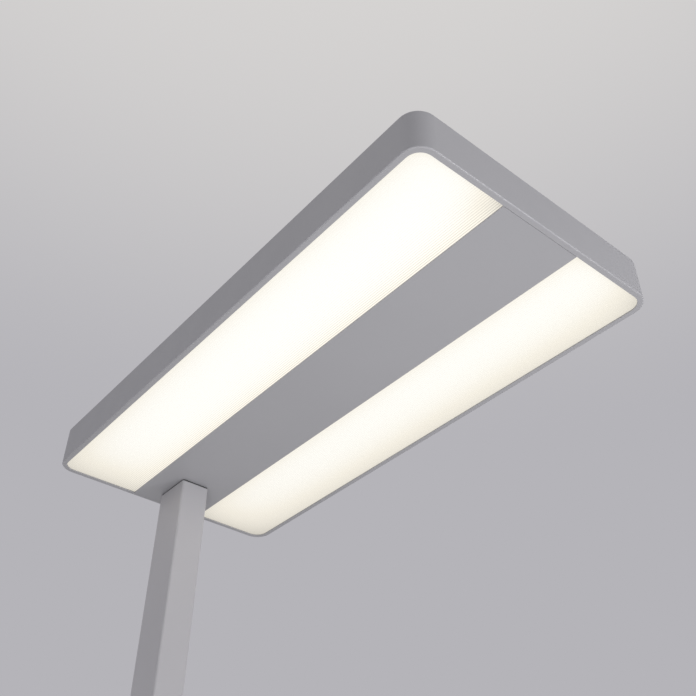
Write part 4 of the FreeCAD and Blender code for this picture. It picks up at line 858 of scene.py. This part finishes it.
@dataclass
class LightBay(SubAssembly):
    """One long bay of the head: its prism panel, uplight cover, tray, boards and chips.

    Attributes:
        side: "left" or "right".
        sign: +1 or -1, the side's sign on Y.
        side_loss: What the panel's light loses at its +Y edge, and how far that spreads.
        corner_loss: The same for the free end's +Y corner.
        ripple: How much the prisms' flanks differ in brightness at the +Y edge.
        lip: The head frame's lip, which hides the panel's rim.
        strip_half_width: Half the centre strip, which hides the panel's inner edge.
        prisms: How many prisms run along the panel.
        prism_depth: How deep the grooves between them are.
        outer_radius: The panel's outer corners.
        window_radius: The uplight window's corners.
        window_lift: How far the cover's upper part reaches into the window.
        cover_flange: How far its lower part reaches beyond the window.
        cover_ribs: How many ribs run along the cover.
        rib_depth: How deep the grooves between them are.
        cover_glow: The cover's light over its row of chips.
    """

    looks = {"reflector_white": "light_tray_{side}", "led_board": "led_board_{side} uplight_board_{side}",
             "led_chip": "led_chips_{side} uplight_chips_{side}", "light_plastic": "board_connector_{side}"}
    side: str
    sign: int
    side_loss: Loss
    corner_loss: Loss
    ripple: float
    lip: float = 0.0064
    strip_half_width: float = 0.05185
    prisms: int = 40
    prism_depth: float = 0.0007
    outer_radius: float = 0.0197
    window_radius: float = 0.0077
    window_lift: float = 0.002
    cover_flange: float = 0.0053
    cover_ribs: int = 14
    rib_depth: float = 0.0005
    cover_glow: float = 0.12

    def seen_edges(self) -> tuple[float, float]:
        """The inner and the outer edge of what shows of the panel, on Y."""
        outer = max(abs(corner[1]) for corner in corners("head_frame")) - self.lip
        return self.sign * self.strip_half_width, self.sign * outer

    def prism_pitch(self) -> float:
        """The prisms' pitch, from the seen width and their number."""
        inner, outer = self.seen_edges()
        return abs(outer - inner) / self.prisms

    def finish(self) -> bpy.types.Material:
        """The lit panel's finish."""
        edges = self.seen_edges()
        frame_low, frame_high = corners("head_frame")
        low = (float(frame_low[0]) + self.lip, min(edges))
        high = (float(frame_high[0]) - self.lip, max(edges))
        prisms = LitPrisms(low, high, self.side_loss, self.corner_loss, self.prism_pitch(), self.ripple)
        return prisms.make(f"prism_acrylic_{self.side}")

    def build_panel(self) -> None:
        """Makes the prism panel.

        Its underside is the panel's lowest level + prism_depth x zigzag(y), so that the prisms' tips
        rest on the lip, and its top is flat.
        """
        node = f"diffuser_{self.side}"
        low, high = corners(node)
        pitch = self.prism_pitch()
        start = self.seen_edges()[0]
        radii = (0.0, self.outer_radius) if self.sign > 0 else (self.outer_radius, 0.0)
        # The panel folds at each half pitch. The grid drops the folds that lie beyond it.
        most = 2 * self.prisms + 10
        folds = start + np.arange(-most, most + 1) * pitch / 2
        x, y = rounded_grid(low[:2], high[:2], radii, 5, folds)
        under = low[2] + self.prism_depth * zigzag(y, start, pitch)
        piece = make_piece(f"prism_panel_{self.side}", [closed_sheet(x, y, under, high[2])],
                           Body.LAMP, self.finish(), crease=12.0)
        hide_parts(node)

    def build_cover(self) -> None:
        """Makes the uplight cover: a flange under the top plate and a ribbed pane in its window.

        Across the ribs the pane's top is the cover's top - rib_depth x (1 - cos(turn)) / 2, with a whole
        turn for each rib.
        """
        node = f"uplight_cover_{self.side}"
        low, high = corners(node)
        flange_top = high[2] - self.window_lift
        radii = (self.window_radius, self.window_radius)
        x, y = rounded_grid(low[:2], high[:2], radii, 3)
        flange = closed_sheet(x, y, low[2], flange_top)
        pane_low, pane_high = low[:2] + self.cover_flange, high[:2] - self.cover_flange
        crests = np.linspace(pane_low[1], pane_high[1], self.cover_ribs * 8 + 1)
        x, y = rounded_grid(pane_low, pane_high, radii, 3, crests)
        turn = 2 * math.pi * self.cover_ribs * (y - pane_low[1]) / (pane_high[1] - pane_low[1])
        pane = closed_sheet(x, y, flange_top, high[2] - self.rib_depth * (1 - np.cos(turn)) / 2)
        middle_y, half_width = (low[1] + high[1]) / 2, (high[1] - low[1]) / 2
        frosted = FrostedCover(middle_y, self.cover_glow, half_width).make(f"clear_acrylic_{self.side}")
        piece = make_piece(f"uplight_pane_{self.side}", [flange, pane], Body.LAMP, frosted)
        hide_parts(node)

    def build(self) -> None:
        """Makes the panel and the cover and dresses the bay's other nodes."""
        self.build_panel()
        self.build_cover()
        super().build()


class HeadInside(SubAssembly):
    """The spine, the mast's seat and the electrical pieces inside the head."""

    looks = {"zinc_steel": "spine mount_plate head_bolts strip_studs strip_nuts tray_screws driver_screws "
                           "terminal_screws",
             "cast_alloy": "head_block", "driver_case": "led_driver",
             "light_plastic": "terminal_block board_leads", "black_rubber": "lead_grommets control_lead"}

    def build(self) -> None:
        """Dresses the pieces inside the head."""
        super().build()
        low, high = corners("mains_cores")
        cores = CoreSheaths((low[1] + high[1]) / 2, (high[1] - low[1]) / 6)
        dress(cores.make("core_sheath_finish"), "mains_cores")


class Mast(SubAssembly):
    """The mast, its collar under the head (its black plastic is painted shade for the shadow gap there) and
    the screws in its rear face.
    """

    # The mast collar's dark plastic is painted shade: a black piece set in the gap under the head, where
    # there is shadow.
    looks = {"mast_paint": "mast", "dark_plastic": "mast_collar", "painted_screw": "mast_screws"}


class Base(SubAssembly):
    """The weighted plate, its mat, the block in the mast's foot and the bolts."""

    looks = {"base_paint": "base_plate", "black_rubber": "base_mat", "cast_alloy": "foot_block",
             "zinc_steel": "base_bolts"}


@dataclass
class CableEntry(SubAssembly):
    """The mains lead's gland on the mast's rear face.

    Attributes:
        bore: The gland's bore.
        thread: The thread's radius, through the mast's wall.
        flange: How thick the hexagon is.
        flange_bevel: How far its outer edge is bevelled.
        corner_share: How much of the corners' distance the bevel leaves.
        cap_radius: The cap's outer radius.
        cap_rounding: The rounding of its outer edge.
        cap_bevel: The bevel at its inner edge, outwards and along.
        ribs: How many grip ribs go round the cap.
        rib_depth: How deep the grooves between them are.
        rib_margin: How far from the cap's inner edge they start, and how far down its rounding they go.
        sides: How many steps go round the hexagon and the thread.
    """

    looks = {"dark_plastic": "gland_nut"}
    bore: float = 0.0037
    thread: float = 0.006
    flange: float = 0.004
    flange_bevel: float = 0.0005
    corner_share: float = 0.94
    cap_radius: float = 0.007
    cap_rounding: float = 0.0022
    cap_bevel: tuple[float, float] = (0.0004, 0.0012)
    ribs: int = 18
    rib_depth: float = 0.0006
    rib_margin: tuple[float, float] = (0.0005, 0.0008)
    sides: int = 48

    def cap(self, start: np.ndarray, length: float) -> Pair:
        """The ribbed cap, whose outer edge is rounded as a quarter circle.

        The grooves cut rib_depth x (1 + cos(ribs x angle)) / 2 out of its radius.
        """
        bend = np.linspace(0, math.pi / 2, 8)
        edge = length - self.cap_rounding + self.cap_rounding * np.sin(bend)
        shoulder = self.cap_radius - self.cap_rounding + self.cap_rounding * np.cos(bend)
        along = np.concatenate([[self.flange, self.flange + self.cap_bevel[1]], edge, [length, self.flange]])
        radius = np.concatenate([[self.cap_radius - self.cap_bevel[0], self.cap_radius], shoulder,
                                 [self.bore, self.bore]])
        ribbed = (along > self.flange + self.rib_margin[0]) & (radius > self.cap_radius - self.rib_margin[1])
        groove = self.rib_depth * (1 + np.cos(self.ribs * steps_round(self.ribs * 8))) / 2
        return turned(along, radius[:, None] - ribbed[:, None] * groove, start)

    def nut(self, start: np.ndarray, reach: float) -> Pair:
        """The hexagon: at angle a it reaches reach x cos(30) / cos(a folded into +-30 degrees)."""
        folded = steps_round(self.sides) % (math.pi / 3) - math.pi / 6
        outline = reach * math.cos(math.pi / 6) / np.cos(folded)
        bevelled = np.minimum(outline, reach * self.corner_share)
        bore = np.full(self.sides, self.bore)
        along = np.array([0.0, self.flange - self.flange_bevel, self.flange, self.flange, 0.0])
        return turned(along, np.stack([outline, outline, bevelled, bore, bore]), start)

    def build_gland(self) -> None:
        """Makes the gland: a hexagon on the mast, a ribbed domed cap, a thread, and one bore."""
        low, high = corners("cable_gland")
        wall_x = corners("mast")[0][0]
        start = np.array([wall_x, (low[1] + high[1]) / 2, (low[2] + high[2]) / 2])
        tail = start[0] - high[0]
        rings = np.repeat([[self.thread], [self.thread], [self.bore], [self.bore]], self.sides, axis=1)
        tube = turned(np.array([tail, 0.0, 0.0, tail]), rings, start)
        shells = [self.cap(start, wall_x - low[0]), self.nut(start, (high[1] - low[1]) / 2), tube]
        piece = make_piece("gland_body", shells, Body.LAMP,
                           self.palette.finish("dark_plastic"), crease=35.0)
        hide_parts("cable_gland")

    def build(self) -> None:
        """Makes the gland and dresses its locknut."""
        self.build_gland()
        super().build()


@dataclass
class Keypad(SubAssembly):
    """The keypad on the mast's front face: bezel, keys, marks and what lies behind them.

    Attributes:
        mark_height: How far the marks stand above the keys.
        mark_sink: How far they reach into them.
        mark_width: The marks' line width.
        ring_radius: The power mark's ring.
        ring_gap: Half the angle that the ring leaves open at its top, in degrees.
        ring_steps: How many points lie along the ring.
        bar_points: How many points lie along the lines of a mark's bar.
        sign_length: The length of the plus and minus marks' bars.
        sign_offset: How far the plus and minus marks lie from the rocker's middle.
        dome_rim: The domes' rim height, as a share of their height.
        dome_top: Where the domes' flat top ends, as a share of their radius.
        dome_skirt: Where their skirt meets the rim, as a share of their radius.
        dome_lines: How many lines each quarter of a dome's outline has.
        dome_points: How many points each of these lines has.
    """

    looks = {"dark_plastic": "keypad_bezel keypad_back", "key_plastic": "power_button dimmer_rocker",
             "control_circuit": "control_board", "zinc_steel": "rocker_pin board_screws",
             "painted_screw": "bezel_screws"}
    mark_height: float = 0.00012
    mark_sink: float = 0.0002
    mark_width: float = 0.0008
    ring_radius: float = 0.003
    ring_gap: float = 35.0
    ring_steps: int = 32
    bar_points: int = 6
    sign_length: float = 0.0056
    sign_offset: float = 0.0145
    dome_rim: float = 0.18
    dome_top: float = 0.68
    dome_skirt: float = 0.92
    dome_lines: int = 24
    dome_points: int = 41

    def key_face(self, node: str) -> tuple[np.ndarray, float]:
        """The middle of a key's front face, as Y and Z, and the X that its marks start from."""
        low, high = corners(node)
        return (low[1:] + high[1:]) / 2, high[0] - self.mark_sink

    def ring(self, middle: np.ndarray, level: float) -> Pair:
        """The power mark's ring, open at its top.

        With a from ring_gap to 360 - ring_gap degrees, it runs at middle + r (sin a, cos a), where
        r = ring_radius -+ mark_width / 2.
        """
        angle = np.radians(np.linspace(self.ring_gap, 360 - self.ring_gap, self.ring_steps))[:, None]
        reach = self.ring_radius + np.array([-0.5, 0.5]) * self.mark_width
        return closed_sheet(middle[0] + reach * np.sin(angle), middle[1] + reach * np.cos(angle),
                            0.0, self.mark_height + self.mark_sink, Facing.FRONT, level)

    def bar(self, middle: np.ndarray, size: np.ndarray, level: float) -> Pair:
        """A mark's bar with round ends, of the given size along Y and Z."""
        radius = size.min() / 2 * ROUND_END
        x, y = rounded_grid(middle - size / 2, middle + size / 2, (radius, radius), self.bar_points)
        return closed_sheet(x, y, 0.0, self.mark_height + self.mark_sink, Facing.FRONT, level)

    def build_marks(self) -> None:
        """Makes the generic marks: a ring with a stroke for power, a plus and a minus to dim."""
        paint = self.palette.finish("mark_paint")
        width, length = self.mark_width, self.sign_length
        middle, level = self.key_face("power_button")
        stroke = self.bar(middle + np.array([0.0, self.ring_radius * 0.8]),
                          np.array([width, self.ring_radius * 1.2]), level)
        make_piece("power_mark", [self.ring(middle, level), stroke], Body.POWER, paint)
        middle, level = self.key_face("dimmer_rocker")
        offset, shift = np.array([0.0, self.sign_offset]), np.array([0.0, (length + width) / 4])
        across, arm = np.array([length, width]), np.array([width, (length - width) / 2])
        plus = [self.bar(middle + offset, across, level), self.bar(middle + offset + shift, arm, level),
                self.bar(middle + offset - shift, arm, level)]
        make_piece("brighter_mark", plus, Body.DIMMER, paint)
        minus = [self.bar(middle - offset, across, level)]
        make_piece("dimmer_mark", minus, Body.DIMMER, paint)

    def build_domes(self, node: str, key: Body) -> None:
        """Makes one key's rubber domes at rest; the real domes give way as the key goes in.

        With f = how far a point lies on the way from dome_top (0) to dome_skirt (1), its height is the
        dome's x (rim + (1 - rim) x (1 - 3 f^2 + 2 f^3)).
        """
        low, high = corners(node)
        radius, rise = (high[1] - low[1]) / 2, high[0] - low[0]
        bend = radius * ROUND_END
        shells = []
        for level in sorted({round(float(low[2] + radius), 5), round(float(high[2] - radius), 5)}):
            middle = np.array([(low[1] + high[1]) / 2, level])
            across, up = rounded_grid(middle - radius, middle + radius, (bend, bend), self.dome_points,
                                      steps=self.dome_lines)
            share = np.hypot(across - middle[0], up - middle[1]) / radius
            fall = np.clip((share - self.dome_top) / (self.dome_skirt - self.dome_top), 0, 1)
            height = rise * (self.dome_rim + (1 - self.dome_rim) * (1 - 3 * fall**2 + 2 * fall**3))
            shells.append(closed_sheet(across, up, 0.0, height, Facing.FRONT, low[0]))
        piece = make_piece(f"{node}_skin", shells, None, self.palette.finish("dome_rubber"))
        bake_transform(piece)
        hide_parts(node)

    def build(self) -> None:
        """Makes the marks and the domes and dresses the keypad's other nodes."""
        self.build_marks()
        self.build_domes("power_dome", Body.POWER)
        self.build_domes("dimmer_domes", Body.DIMMER)
        super().build()


def main() -> None:
    """Builds the studio and every sub-assembly."""
    logging.basicConfig(level=logging.INFO, format="%(name)s: %(message)s")
    palette = Palette()
    Studio().build()
    left = LightBay(palette, "left", 1, side_loss=(0.25, 0.03), corner_loss=(0.22, 0.018), ripple=0.06)
    right = LightBay(palette, "right", -1, side_loss=(0.14, 0.018), corner_loss=(0.32, 0.018), ripple=0.32)
    assemblies = [HeadShell(palette), left, right, HeadInside(palette), Mast(palette), Base(palette),
                  CableEntry(palette), Keypad(palette)]
    for assembly in assemblies:
        assembly.build()


if __name__ == "__main__":
    main()
